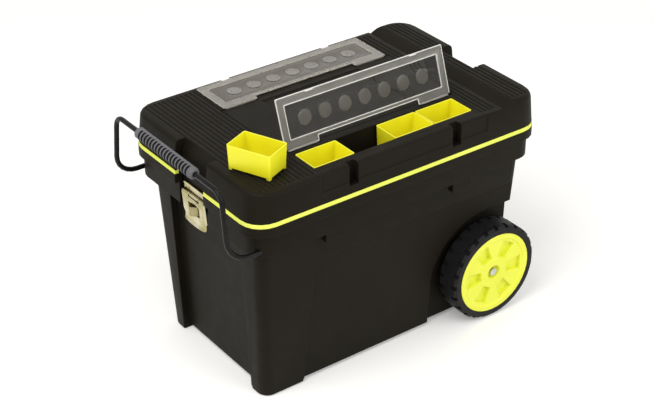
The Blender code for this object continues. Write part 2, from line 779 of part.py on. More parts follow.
def clip_boxes(name, grow, depth_y, low, high):
    """The four clip recesses in the lid's long sides, one for each catch of the covers."""
    spans = []
    for middle in (ORGANISER_X - CATCH_SPACING / 2, ORGANISER_X + CATCH_SPACING / 2):
        half = CATCH_WIDTH / 2 + CLIP_MARGIN + grow
        for y in both_sides(depth_y - grow, RIM_Y + BEYOND):
            spans.append(((middle - half, middle + half), y, (low, high)))
    return boxes(name, spans)


def lid_inside():
    """The lid's hollow, which leaves the decks, pockets, recesses and the trough's floor."""
    roof = LID_TOP - LID_PLATE
    span = (LID_BOTTOM - BEYOND, roof)
    inside = lid_form("lid_inside", span, LID_WALL)
    deck_x = (COVER_X[0] - COVER_PIN_LENGTH, COVER_X[1] + COVER_PIN_LENGTH)
    deck_y = both_sides(COVER_HINGE_Y - 2 * COVER_HINGE_RADIUS, COVER_EDGE + CATCH_REACH)
    decks = boxes("decks", [(deck_x, y, (LID_TOP - DECK, LID_TOP)) for y in deck_y])
    pockets = organiser_box("pocket_walls", POCKET_WALL, POCKET_FLOOR - POCKET_WALL, LID_TOP)
    clip_low = LID_TOP - CLIP_DROP - LID_WALL
    clips = clip_boxes("clip_walls", LID_WALL, COVER_EDGE - CLIP_MARGIN, clip_low, LID_TOP)
    trough_x = (TROUGH_X - TROUGH_RUN, TROUGH_X + BLOCK_SLOPE_RUN)
    keel = box("trough_floor", trough_x, (-RIM_Y, RIM_Y), (LID_TOP - TROUGH_DEPTH - LID_WALL, LID_TOP))
    recesses = [hand_recess("recess_walls", side, LID_WALL) for side in (-1, 1)]
    return cut(inside, decks, pockets, clips, keel, *recesses)


def block_inside():
    """The two hollows in the block, beside its recess and clear of its round corners."""
    x = (TROUGH_X + BLOCK_SLOPE_RUN + BLOCK_ROOF, lid_end(BLOCK_TOP) - BLOCK_SIDE)
    z = (LID_TOP - 2 * LID_PLATE, BLOCK_TOP - BLOCK_ROOF)
    y = both_sides(RECESS_WIDTH / 2 + LID_WALL, LID_Y - BLOCK_SIDE)
    return boxes("block_inside", [(x, half, z) for half in y])


def ribs():
    """The grooves between the ribs on the lid's end, on the strip by the trough and on the block."""
    spans = []
    half = RIB_LENGTH / 2
    fields = (
        (COVER_X[0] - LEFT_RIBS * RIB_PITCH, LEFT_RIBS, LID_TOP),
        (COVER_X[1] + RIB_PITCH / 2, STRIP_RIBS, LID_TOP),
        (TROUGH_X + BLOCK_SLOPE_RUN + RIB_PITCH / 2, BLOCK_RIBS, BLOCK_TOP),
    )
    for start, count, level in fields:
        for n in range(count):
            low = start + n * RIB_PITCH
            spans.append(((low, low + RIB_PITCH / 2), (-half, half), (level - RIB_DEPTH, level + BEYOND)))
    return boxes("ribs", spans)


def cover_seats():
    """The shallow seats of the covers, and the grooves that their hinge edges turn in."""
    x = (COVER_X[0] - RUNNING_FIT, COVER_X[1] + RUNNING_FIT)
    turning = COVER_HINGE_RADIUS + COVER_GROOVE_GAP
    seat_y = both_sides(COVER_HINGE_Y - turning, COVER_EDGE + RUNNING_FIT)
    seats = boxes("cover_seats", [(x, y, (COVER_UNDER - FIT, LID_TOP + BEYOND)) for y in seat_y])
    tabs = ((x[0], x[0] + COVER_TAB), (x[1] - COVER_TAB, x[1]))
    groove_y = both_sides(COVER_HINGE_Y - turning, COVER_HINGE_Y + turning)
    groove_z = (COVER_HINGE_Z - turning, LID_TOP + BEYOND)
    grooves = boxes("hinge_grooves", [(tab, y, groove_z) for tab in tabs for y in groove_y])
    return seats, grooves


def cover_pin_bores(name, clearance):
    """Bores for the four cover pins, half in the lid and half in the covers."""
    half = COVER_PIN_LENGTH / 2 + FIT
    for x in COVER_X:
        for y in (-COVER_HINGE_Y, COVER_HINGE_Y):
            ends = ((x - half, y, COVER_HINGE_Z), (x + half, y, COVER_HINGE_Z))
            yield cylinder(name, *ends, COVER_PIN_DIAMETER / 2 + clearance, PIN_SIDES)


def face_panels():
    """The shallow panels in the lid's long faces."""
    half = CATCH_SPACING / 2 + COVER_TAB
    x = (ORGANISER_X - half + CLIP_MARGIN, ORGANISER_X + half - CLIP_MARGIN)
    z = (LID_TOP - FACE_PANEL_DROP, LID_TOP + BEYOND)
    faces = both_sides(LID_Y - FACE_PANEL_DEPTH, RIM_Y + BEYOND)
    return boxes("face_panels", [(x, y, z) for y in faces])


def make_lid():
    lid = lid_form("lid", (LID_BOTTOM, LID_TOP), 0.0, LID_ROUND)
    cut(lid, trough())
    join(lid, lid_block(), *lid_knuckles())
    cut(lid, lid_inside(), block_inside(), *[hand_recess("hand_recess", side, 0.0) for side in (-1, 1)])
    notch = LATCH_NOTCH / 2
    notch_span = (LID_BOTTOM - BEYOND, LID_TOP - RECESS_DEPTH - 2 * LID_WALL)
    cut(lid, box("lid_notch", (-RIM_X - BEYOND, -TONGUE_FACE - LID_WALL), (-notch, notch), notch_span))
    half = TONGUE_WIDTH / 2
    tongue_span = (TUB_HEIGHT - TONGUE_DROP, LID_TOP - RECESS_DEPTH - FIT)
    join(lid, box("tongue", (-TONGUE_FACE, TONGUE - TONGUE_FACE), (-half, half), tongue_span))
    cut(lid, organiser_box("pockets", 0.0, POCKET_FLOOR, LID_TOP + BEYOND), *cover_seats())
    clip_low = LID_TOP - CLIP_DROP
    cut(lid, clip_boxes("clips", 0.0, COVER_EDGE - CLIP_MARGIN, clip_low, LID_TOP + BEYOND))
    cut(lid, face_panels(), ribs(), *cover_pin_bores("lid_pin_bore", FIT))
    tray_x = (COVER_X[0] + COVER_TAB, COVER_X[1] - COVER_TAB)
    tray_y = (-TRAY_WIDTH / 2, TRAY_WIDTH / 2)
    cut(lid, box("centre_tray", tray_x, tray_y, (LID_TOP - TRAY_DEPTH, LID_TOP + BEYOND)))
    cut(lid, hinge_bore(), *rivet_bores())
    seat(lid, "lid", LID_PIVOT, BLACK_PLASTIC)
    half = HINGE_KNUCKLES * HINGE_KNUCKLE / 2
    ends = ((HINGE_X, -half, HINGE_Z), (HINGE_X, half, HINGE_Z))
    seat(cylinder("pin", *ends, HINGE_PIN_DIAMETER / 2, ROD_SIDES), "lid_hinge_pin", ROOT, BRIGHT_STEEL)


def make_cover(side, name, turn):
    """A clear organiser cover, drawn closed; side is -1 at the front and 1 at the rear."""
    hinge = pivot(name + "_pivot", (ORGANISER_X, side * COVER_HINGE_Y, COVER_HINGE_Z), LID_PIVOT, turn)
    near = side * COVER_HINGE_Y
    far = side * COVER_EDGE
    step = side * (COVER_HINGE_Y + COVER_NOTCH)
    notch = (COVER_X[0] + COVER_TAB - 2 * FIT, COVER_X[1] - COVER_TAB + 2 * FIT)
    outline = [(COVER_X[0], near), (COVER_X[0], far), (COVER_X[1], far), (COVER_X[1], near)]
    outline += [(notch[1], near), (notch[1], step), (notch[0], step), (notch[0], near)]
    cover = extruded(name, outline, "XY", (COVER_UNDER, COVER_TOP))
    for tab in ((COVER_X[0], notch[0]), (notch[1], COVER_X[1])):
        ends = [(x, near, COVER_HINGE_Z) for x in tab]
        join(cover, cylinder(name + "_roll", *ends, COVER_HINGE_RADIUS, PIN_SIDES))
    window_x = (COVER_X[0] + COVER_BORDER, COVER_X[1] - COVER_BORDER)
    window_y = sorted((step + side * COVER_BORDER / 2, far - side * COVER_BORDER))
    window_z = (COVER_TOP - WINDOW_DEPTH, COVER_TOP + BEYOND)
    cut(cover, box(name + "_window", window_x, window_y, window_z))
    middle = sum(window_y) / 2
    base = COVER_TOP - WINDOW_DEPTH
    for n in range(SPOTS):
        x = ORGANISER_X + (n - (SPOTS - 1) / 2) * SPOT_PITCH
        ends = ((x, middle, base - FIT), (x, middle, base + SPOT_RISE))
        join(cover, cylinder(name + "_spot", *ends, SPOT_DIAMETER / 2, SPOT_SIDES))
    for x in (ORGANISER_X - CATCH_SPACING / 2, ORGANISER_X + CATCH_SPACING / 2):
        catch_x = (x - CATCH_WIDTH / 2, x + CATCH_WIDTH / 2)
        catch_y = sorted((far - side * FIT, far + side * CATCH_REACH))
        join(cover, box(name + "_catch", catch_x, catch_y, (COVER_TOP - CATCH_DROP, COVER_TOP - FIT)))
    half = COVER_PIN_LENGTH / 2 + FIT
    for x in COVER_X:
        ends = ((x - half, near, COVER_HINGE_Z), (x + half, near, COVER_HINGE_Z))
        cut(cover, cylinder(name + "_pin_bore", *ends, COVER_PIN_DIAMETER / 2 + FIT, PIN_SIDES))
    seat(cover, name, hinge, CLEAR_PLASTIC)
    return hinge


def make_cover_pins():
    half = COVER_PIN_LENGTH / 2
    names = {-1: "front_cover_pin", 1: "rear_cover_pin"}
    for side, name in names.items():
        for x, end in zip(COVER_X, ("left", "right")):
            y = side * COVER_HINGE_Y
            ends = ((x - half, y, COVER_HINGE_Z), (x + half, y, COVER_HINGE_Z))
            pin = cylinder("pin", *ends, COVER_PIN_DIAMETER / 2, PIN_SIDES)
            seat(pin, f"{name}_{end}", LID_PIVOT, BRIGHT_STEEL)


def make_bin(name, at, turn):
    """An open bin on four corner feet, drawn about its own middle, standing at a point."""
    half_x = BIN_LENGTH / 2
    half_y = BIN_WIDTH / 2
    top = plan_of(half_x, half_y)
    foot = plan_of(half_x - BIN_TAPER, half_y - BIN_TAPER)
    body = rounded_box(name, top, foot, (BIN_FOOT_HEIGHT, BIN_HEIGHT), BIN_RADIUS)
    reach = (half_x - BIN_TAPER - FIT, half_y - BIN_TAPER - FIT)
    spans = []
    for x in (-1, 1):
        for y in (-1, 1):
            span_x = sorted((x * reach[0], x * (reach[0] - BIN_FOOT)))
            span_y = sorted((y * reach[1], y * (reach[1] - BIN_FOOT)))
            spans.append((span_x, span_y, (0.0, BIN_FOOT_HEIGHT + BIN_RADIUS)))
    corner = rounded_box(name + "_corner", foot, foot, (-BEYOND, BIN_HEIGHT), BIN_RADIUS)
    feet = boxes(name + "_feet", spans)
    combine(feet, corner, "INTERSECT")
    join(body, feet)
    inner_top = plan_of(half_x - BIN_WALL, half_y - BIN_WALL)
    inner_foot = plan_of(half_x - BIN_TAPER - BIN_WALL, half_y - BIN_TAPER - BIN_WALL)
    hollow_z = (BIN_FOOT_HEIGHT + BIN_WALL, BIN_HEIGHT + FIT)
    cut(body, rounded_box(name + "_hollow", inner_top, inner_foot, hollow_z, BIN_RADIUS - BIN_WALL))
    lift = pivot(name + "_pivot", at, LID_PIVOT, (0.0, 0.0, turn))
    seat(body, name, lift, YELLOW_PLASTIC, at)


def make_bins():
    y = -(POCKET_Y + BIN_GAP + BIN_WIDTH / 2)
    for slot in range(BIN_SLOTS):
        if slot != VACANT_SLOT:
            x = ORGANISER_X + (slot - (BIN_SLOTS - 1) / 2) * BIN_SPACING
            make_bin(f"bin_slot_{slot + 1}", (x, y, POCKET_FLOOR + FIT), 0.0)
    make_bin("bin_on_lid", (LOOSE_BIN_X, LOOSE_BIN_Y, LID_TOP + FIT), LOOSE_BIN_TURN)


def rivet_bores():
    """Bores through the tongue and the hinge plate for the latch's two rivets."""
    for y in (-RIVET_SPACING / 2, RIVET_SPACING / 2):
        z = LATCH_PIN_Z + RIVET_RISE
        start = (-HINGE_PLATE_FACE - BEYOND / 2, y, z)
        end = (TONGUE - TONGUE_FACE + FIT, y, z)
        yield cylinder("rivet_bore", start, end, RIVET_SHANK / 2 + FIT, PIN_SIDES)


def latch_roll(name, spans, bore):
    """Rolled knuckles about the latch pin, or their bore."""
    radius = LATCH_PIN_DIAMETER / 2 + FIT if bore else LATCH_ROLL
    for low, high in spans:
        ends = ((LATCH_PIN_X, low, LATCH_PIN_Z), (LATCH_PIN_X, high, LATCH_PIN_Z))
        yield cylinder(name, *ends, radius, ROD_SIDES)


def make_latch_hinge():
    """The plate on the lid's tongue, with the middle knuckle, its pin and its two rivets."""
    half = LATCH_WIDTH / 2
    mid = LATCH_ROLL_WIDTH / 2
    clear = LATCH_PIN_Z + LATCH_ROLL + RUNNING_FIT
    top = LATCH_PIN_Z + HINGE_PLATE_RISE
    foot = LATCH_PIN_Z - LATCH_ROLL / 2
    outline = [(-half, top), (-half, clear), (-mid, clear), (-mid, foot), (mid, foot), (mid, clear)]
    outline += [(half, clear), (half, top)]
    plate = extruded("plate", outline, "YZ", (-HINGE_PLATE_FACE, -TONGUE_FACE - FIT))
    join(plate, *latch_roll("plate_roll", [(-mid, mid)], False), solver=CLOSED)
    cut(plate, *latch_roll("plate_bore", [(-half, half)], True), *rivet_bores(), solver=CLOSED)
    seat(plate, "latch_hinge_plate", LID_PIVOT, YELLOW_ZINC)
    ends = ((LATCH_PIN_X, -half, LATCH_PIN_Z), (LATCH_PIN_X, half, LATCH_PIN_Z))
    seat(cylinder("pin", *ends, LATCH_PIN_DIAMETER / 2, PIN_SIDES), "latch_pin", LID_PIVOT, BRIGHT_STEEL)
    for y, end in ((-RIVET_SPACING / 2, "front"), (RIVET_SPACING / 2, "rear")):
        z = LATCH_PIN_Z + RIVET_RISE
        face = -HINGE_PLATE_FACE - FIT
        head = cylinder("rivet", (face - RIVET_HEAD_RISE, y, z), (face, y, z), RIVET_HEAD / 2, ROD_SIDES)
        ends = ((face - RIVET_HEAD_RISE / 2, y, z), (TONGUE - TONGUE_FACE, y, z))
        join(head, cylinder("shank", *ends, RIVET_SHANK / 2, PIN_SIDES))
        seat(head, f"latch_rivet_{end}", LID_PIVOT, YELLOW_ZINC)


def make_latch_plate():
    """The hanging plate with its window and flared foot, and two outer knuckles."""
    half = LATCH_WIDTH / 2
    mid = LATCH_ROLL_WIDTH / 2 + RUNNING_FIT
    back = LATCH_PIN_X - LATCH_SHEET / 2
    front = back - LATCH_SHEET
    bend = (front - LATCH_FLARE_RADIUS, LATCH_PIN_Z - LATCH_LENGTH + LATCH_FLARE_RADIUS)
    flare_back = LATCH_FLARE_RADIUS + LATCH_SHEET
    outline = [(back, LATCH_PIN_Z), (front, LATCH_PIN_Z)]
    outline += arc(bend, LATCH_FLARE_RADIUS, 0, -LATCH_FLARE_ANGLE, CORNER_STEPS)
    outline += arc(bend, flare_back, -LATCH_FLARE_ANGLE, 0, CORNER_STEPS)
    plate = extruded("latch_plate", outline, "XZ", (-half, half))
    spans = ((-half, -mid), (mid, half))
    gap = box("roll_gap", (-RIM_X, 0.0), (-mid, mid), (LATCH_PIN_Z - LATCH_ROLL - RUNNING_FIT, TUB_HEIGHT))
    cut(plate, gap)
    join(plate, *latch_roll("latch_roll", spans, False))
    cut(plate, *latch_roll("latch_bore", [(-half - FIT, half + FIT)], True))
    window = LATCH_WINDOW_WIDTH / 2
    window_top = LATCH_PIN_Z - LATCH_WINDOW_DROP
    window_z = (window_top - LATCH_WINDOW_HEIGHT, window_top)
    cut(plate, box("latch_window", (-RIM_X - BEYOND, 0.0), (-window, window), window_z))
    hinge = pivot("latch_pivot", (LATCH_PIN_X, 0.0, LATCH_PIN_Z), LID_PIVOT)
    seat(plate, "latch_plate", hinge, YELLOW_ZINC)


def make_strike():
    """The half-round strike on the tub, just behind the latch plate's window."""
    middle = LATCH_PIN_Z - LATCH_WINDOW_DROP - LATCH_WINDOW_HEIGHT / 2
    plate_z = (middle - STRIKE_PLATE_HEIGHT / 2, middle + STRIKE_PLATE_HEIGHT / 2)
    wall = notch_back() - FIT
    half = STRIKE_PLATE_WIDTH / 2
    plate = box("strike", (wall - LATCH_SHEET, wall), (-half, half), plate_z)
    nose = LATCH_PIN_X - LATCH_SHEET / 2 + STRIKE_GAP
    reach = wall - nose
    rounding = arc((0.0, 0.0), 1.0, 90, 270, ROLL_STEPS)
    outline = [(wall + u * reach, v * STRIKE_WIDTH / 2) for u, v in rounding]
    bump_z = (middle - STRIKE_HEIGHT / 2, middle + STRIKE_HEIGHT / 2)
    join(plate, extruded("strike_bump", outline, "XY", bump_z))
    seat(plate, "latch_strike", ROOT, YELLOW_ZINC)


def rounded_path(corners, radii):
    """Points of a path of straight runs through the corners, each corner bent to its radius."""
    points = [corners[0]]
    for before, corner, after, radius in zip(corners, corners[1:], corners[2:], radii):
        back = (before - corner).normalized()
        ahead = (after - corner).normalized()
        half_angle = back.angle(ahead) / 2
        middle = corner + (back + ahead).normalized() * radius / math.sin(half_angle)
        start = corner + back * radius / math.tan(half_angle) - middle
        end = corner + ahead * radius / math.tan(half_angle) - middle
        sweep = start.angle(end)
        for n in range(BEND_STEPS + 1):
            share = n / BEND_STEPS
            part = (start * math.sin((1 - share) * sweep) + end * math.sin(share * sweep)) / math.sin(sweep)
            points.append(middle + part)
    points.append(corners[-1])
    return points


def make_handle():
    """The bent rod, with its tails inside the skirt, and the ribbed grip on its cross bar."""
    corners = []
    for side in (-1, 1):
        tail = Vector((ROD_TAIL, side * ARM_Y, ROD_HEIGHT))
        lower = Vector((-HANDLE_X, side * ARM_Y, ROD_HEIGHT))
        upper = Vector((-HANDLE_X, side * (ARM_Y - HANDLE_LEAN), HANDLE_HEIGHT))
        corners += [tail, lower, upper] if side < 0 else [upper, lower, tail]
    points = rounded_path(corners, (LOWER_BEND, UPPER_BEND, UPPER_BEND, LOWER_BEND))
    curve = bpy.data.curves.new("handle_rod", "CURVE")
    curve.dimensions = "3D"
    curve.bevel_depth = ROD_DIAMETER / 2
    curve.bevel_resolution = ROD_BEVEL_STEPS
    curve.use_fill_caps = True
    spline = curve.splines.new("POLY")
    spline.points.add(len(points) - 1)
    for point, place in zip(spline.points, points):
        point.co = (*place, 1.0)
    seat(curve_to_mesh("handle_rod", curve, Matrix()), "handle_rod", HANDLE_PIVOT, BLACK_STEEL)
    bore = ROD_DIAMETER / 2 + FIT
    outer = GRIP_DIAMETER / 2
    half = GRIP_LENGTH / 2
    pitch = (GRIP_LENGTH - 2 * GRIP_COLLAR) / GRIP_RIBS
    step = pitch / GRIP_RIB_PARTS
    profile = [(bore, -half), (outer - GRIP_RIB_DEPTH, -half), (outer, GRIP_RIB_DEPTH - half)]
    for n in range(GRIP_RIBS):
        low = GRIP_COLLAR - half + n * pitch
        profile += [(outer, low), (outer - GRIP_RIB_DEPTH, low + step)]
        profile += [(outer - GRIP_RIB_DEPTH, low + 2 * step), (outer, low + 3 * step)]
    profile += [(outer, half - GRIP_RIB_DEPTH), (outer - GRIP_RIB_DEPTH, half), (bore, half)]
    grip = turned("grip", profile, GRIP_SIDES)
    seat(grip, "handle_grip", HANDLE_PIVOT, GREY_RUBBER, (-HANDLE_X, 0.0, HANDLE_HEIGHT))


def make_guides_and_stops():
    """Two guides for each rod under the rim, and the collar that stops the rod at the front guide."""
    top = ROD_HEIGHT + GUIDE_ABOVE
    low = SKIRT_BOTTOM - GUIDE_BELOW
    near = half_width(top) + FIT
    far = SKIRT_Y - SKIN - FIT
    stop_end = GUIDE_X - GUIDE_LENGTH / 2 - GUIDE_GAP
    for y_side, row in ((-1, "front"), (1, "rear")):
        y = y_side * ARM_Y
        for x_side, end in ((-1, "left"), (1, "right")):
            x = x_side * GUIDE_X
            span = (x - GUIDE_LENGTH / 2, x + GUIDE_LENGTH / 2)
            guide = box("guide", span, sorted((y_side * near, y_side * far)), (low, top))
            ends = ((span[0] - BEYOND, y, ROD_HEIGHT), (span[1] + BEYOND, y, ROD_HEIGHT))
            cut(guide, cylinder("guide_bore", *ends, ROD_DIAMETER / 2 + GUIDE_GAP, ROD_SIDES))
            seat(guide, f"rod_guide_{row}_{end}", ROOT, BLACK_PLASTIC)
        start = (stop_end - STOP_LENGTH, y, ROD_HEIGHT)
        stop = cylinder("stop", start, (stop_end, y, ROD_HEIGHT), STOP_DIAMETER / 2, ROD_SIDES)
        ends = ((0.0, y, ROD_HEIGHT), (GUIDE_X, y, ROD_HEIGHT))
        cut(stop, cylinder("stop_bore", *ends, ROD_DIAMETER / 2 + GUIDE_GAP, ROD_SIDES))
        seat(stop, f"rod_stop_{row}", HANDLE_PIVOT, BRIGHT_STEEL)


def tyre(name):
    """The tyre about its own axis, from its outer face at 0 towards the chest, with tread notches."""
    inner = DISC_DIAMETER / 2 + FIT
    outer = TYRE_DIAMETER / 2
    profile = [(inner, 0.0), (outer - TYRE_ROUND, 0.0), (outer, TYRE_ROUND)]
    profile += [(outer, TYRE_WIDTH - TYRE_ROUND), (outer - TYRE_ROUND, TYRE_WIDTH), (inner, TYRE_WIDTH)]
    ring = turned(name, profile, 2 * TREAD_BLOCKS)
    edges = ((-TYRE_ROUND, TREAD_REACH), (TYRE_WIDTH - TREAD_REACH, TYRE_WIDTH + TYRE_ROUND))
    bm = bmesh.new()
    for n in range(TREAD_BLOCKS):
        for side, y in enumerate(edges):
            made = bmesh.ops.create_cube(bm, size=1.0)
            turn = Matrix.Rotation(2 * math.pi * (n + side / 2) / TREAD_BLOCKS, 4, "Y")
            for vert in made["verts"]:
                x = pick((outer - TREAD_DEPTH, outer + TREAD_DEPTH), vert.co.x)
                z = vert.co.z * TREAD_GAP
                vert.co = turn @ Vector((x, pick(y, vert.co.y), z))
    return cut(ring, finish_mesh(name + "_tread", bm))


def wheel_disc(name):
    """The dished disc with its rim, six pockets and hub, about its own axis."""
    bore = AXLE_DIAMETER / 2 + RUNNING_FIT
    outer = DISC_DIAMETER / 2
    hub = HUB_DIAMETER / 2
    lip = outer - DISC_LIP
    back = TYRE_WIDTH - DISC_RIM_SET_IN
    face = DISC_FACE_SET_IN
    web = face + DISC_WEB
    profile = [(bore, HUB_SET_IN), (HUB_FLOOR_DIAMETER / 2, HUB_SET_IN), (hub, face)]
    profile += [(lip - face, face), (lip, 0.0), (outer, 0.0), (outer, back), (outer - DISC_RIM, back)]
    profile += [(outer - DISC_RIM, web), (hub, web + HUB_SET_IN - face)]
    profile += [(hub, TYRE_WIDTH), (bore, TYRE_WIDTH)]
    disc = turned(name, profile, WHEEL_SIDES)
    bm = bmesh.new()
    for n in range(POCKETS):
        made = bmesh.ops.create_cube(bm, size=1.0)
        turn = Matrix.Rotation(2 * math.pi * n / POCKETS, 4, "Y")
        for vert in made["verts"]:
            x = pick((hub + POCKET_FROM_HUB, lip - POCKET_FROM_LIP), vert.co.x)
            width = pick((POCKET_INNER_WIDTH, POCKET_OUTER_WIDTH), vert.co.x)
            depth = pick((POCKET_DEPTH, POCKET_SHALLOW), vert.co.x)
            y = pick((-face, face + depth), vert.co.y)
            vert.co = turn @ Vector((x, y, vert.co.z * width))
    return cut(disc, finish_mesh(name + "_pockets", bm))


def axle_cap(name):
    """The push-on cap over the axle's end, about its own axis."""
    bore = AXLE_DIAMETER / 2 + FIT
    radius = CAP_DIAMETER / 2
    crown = AXLE_SET_IN - CAP_CROWN
    cap = cylinder(name, (0.0, crown, 0.0), (0.0, HUB_SET_IN - FIT, 0.0), radius)
    return cut(cap, cylinder(name + "_bore", (0.0, AXLE_SET_IN - FIT, 0.0), (0.0, TYRE_WIDTH, 0.0), bore))


def axle_spacer(name):
    """The sleeve that keeps the hub off the well's wall, about the wheel's own axis."""
    bore = AXLE_DIAMETER / 2 + FIT
    start = (0.0, TYRE_WIDTH + FIT, 0.0)
    end = (0.0, TYRE_WIDTH + WELL_SIDE_GAP - FIT, 0.0)
    sleeve = cylinder(name, start, end, SPACER_DIAMETER / 2)
    return cut(sleeve, cylinder(name + "_bore", (0.0, 0.0, 0.0), (0.0, RIM_WIDTH, 0.0), bore))


def make_wheels():
    for side, row in ((-1, "front"), (1, "rear")):
        at = (WHEEL_X, side * WHEEL_FACE, WHEEL_Z)
        spin = pivot(f"wheel_{row}_pivot", at, ROOT)
        fixed = pivot(f"axle_end_{row}", at, ROOT)
        pieces = (
            (tyre("tyre"), f"tyre_{row}", spin, BLACK_RUBBER),
            (wheel_disc("disc"), f"wheel_disc_{row}", spin, YELLOW_PLASTIC),
            (axle_cap("cap"), f"axle_cap_{row}", fixed, BRIGHT_STEEL),
            (axle_spacer("spacer"), f"axle_spacer_{row}", fixed, BLACK_PLASTIC),
        )
        for obj, name, empty, finish in pieces:
            seat(obj, name, empty, finish, at)
            if side > 0:
                obj.rotation_euler.z = math.pi
    half = WHEEL_FACE - AXLE_SET_IN
    ends = ((WHEEL_X, -half, WHEEL_Z), (WHEEL_X, half, WHEEL_Z))
    seat(cylinder("axle", *ends, AXLE_DIAMETER / 2), "axle", ROOT, BRIGHT_STEEL)


make_tub()
make_seal()
make_lid()
make_cover(-1, "front_cover", (-COVER_OPENS, 0.0, 0.0))
make_cover(1, "rear_cover", (0.0, 0.0, 0.0))
make_cover_pins()
make_bins()
make_latch_hinge()
make_latch_plate()
make_strike()
make_handle()
make_guides_and_stops()
make_wheels()
bpy.context.view_layer.update()
print("tool chest parts:", len([obj for obj in PARTS.objects if obj.type == "MESH"]))
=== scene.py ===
# %% [markdown]
# # A wheeled tool chest, dressed for its portrait
#
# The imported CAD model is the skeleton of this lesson: a black moulded tub on two yellow wheels, a hinged
# lid with two clear organiser covers, four yellow bins, a plated hasp latch and a pull-out handle.
# We load it, keep its size, and then give every surface the finish that the real chest has. Pieces whose
# looks need more than a finish, such as the rubber grip and the clear covers, are drawn again here.

# %% Load the chest
import json
import math

import bmesh
import bpy
from mathutils import Matrix, Vector

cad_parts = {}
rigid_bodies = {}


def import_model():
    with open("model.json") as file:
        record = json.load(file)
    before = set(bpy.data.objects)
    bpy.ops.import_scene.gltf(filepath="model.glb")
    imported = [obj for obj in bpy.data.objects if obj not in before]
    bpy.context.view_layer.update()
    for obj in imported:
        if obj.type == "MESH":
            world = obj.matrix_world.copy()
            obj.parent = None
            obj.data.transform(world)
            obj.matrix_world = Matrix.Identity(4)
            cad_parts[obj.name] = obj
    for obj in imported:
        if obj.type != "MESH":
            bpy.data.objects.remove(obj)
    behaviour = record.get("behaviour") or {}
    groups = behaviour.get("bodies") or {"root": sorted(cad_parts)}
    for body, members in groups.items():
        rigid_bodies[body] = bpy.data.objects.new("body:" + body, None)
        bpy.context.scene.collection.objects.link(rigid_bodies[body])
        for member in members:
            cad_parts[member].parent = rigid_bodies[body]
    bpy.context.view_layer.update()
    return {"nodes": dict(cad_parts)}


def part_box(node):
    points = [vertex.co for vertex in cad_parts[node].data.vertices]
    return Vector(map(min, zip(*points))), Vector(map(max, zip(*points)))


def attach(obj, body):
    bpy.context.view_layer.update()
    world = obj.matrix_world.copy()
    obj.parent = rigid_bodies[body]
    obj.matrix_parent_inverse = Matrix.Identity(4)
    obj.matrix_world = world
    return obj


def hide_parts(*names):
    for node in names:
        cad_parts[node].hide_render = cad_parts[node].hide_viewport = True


for leftover in list(bpy.data.objects):
    bpy.data.objects.remove(leftover)
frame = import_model()
nodes = frame["nodes"]

# %% [markdown]
# ## The camera
#
# The picture was taken from the handle's corner, from above, with a long lens. The numbers come from
# fitting the chest's corners: the direction, the distance and the lens together give the same perspective.

# %% Camera
VIEW_AZIMUTH = -36.38
VIEW_ELEVATION = 31.42
VIEW_DISTANCE = 2.77177
VIEW_TARGET = Vector((-0.00626, 0.0, 0.21549))
VIEW_LENS = 90.94
VIEW_SENSOR = 36.0


def look_from(azimuth, elevation):
    """The direction from the chest towards a viewer; azimuth 0 looks along +Y."""
    a = math.radians(azimuth)
    e = math.radians(elevation)
    return Vector((math.sin(a) * math.cos(e), -math.cos(a) * math.cos(e), math.sin(e)))


camera_data = bpy.data.cameras.new("chest_camera")
camera_data.lens = VIEW_LENS
camera_data.sensor_width = VIEW_SENSOR
camera = bpy.data.objects.new("chest_camera", camera_data)
bpy.context.scene.collection.objects.link(camera)
towards_viewer = look_from(VIEW_AZIMUTH, VIEW_ELEVATION)
camera.location = VIEW_TARGET + towards_viewer * VIEW_DISTANCE
camera.rotation_mode = "QUATERNION"
camera.rotation_quaternion = (-towards_viewer).to_track_quat("-Z", "Y")
bpy.context.scene.camera = camera
print("camera at", [round(v, 3) for v in camera.location])

# %% [markdown]
# ## Studio paper
#
# The chest stands in a white sweep, so the floor is pale paper that keeps a faint shadow. A plain plane is
# enough. The camera, and whatever mirrors or looks through to the surroundings, has to see plain white
# there: the Light Path node tells those rays from the ones that carry light to the chest.

# %% Studio paper
PAPER_LIFT = 0.2
PAPER_DARK = (0.93, 0.925, 0.90, 1.0)
PAPER_PALE = (0.96, 0.955, 0.935, 1.0)
FLOOR_HALF = 6.0
FLOOR_DROP = 0.0005


def picture_rays(tree):
    """1 for rays that show the surroundings: to the camera, in a mirror or through clear plastic."""
    path = tree.nodes.new("ShaderNodeLightPath")
    shown = path.outputs["Is Camera Ray"]
    for kind in ("Is Glossy Ray", "Is Transmission Ray"):
        either = tree.nodes.new("ShaderNodeMath")
        either.operation = "MAXIMUM"
        tree.links.new(shown, either.inputs[0])
        tree.links.new(path.outputs[kind], either.inputs[1])
        shown = either.outputs[0]
    return shown


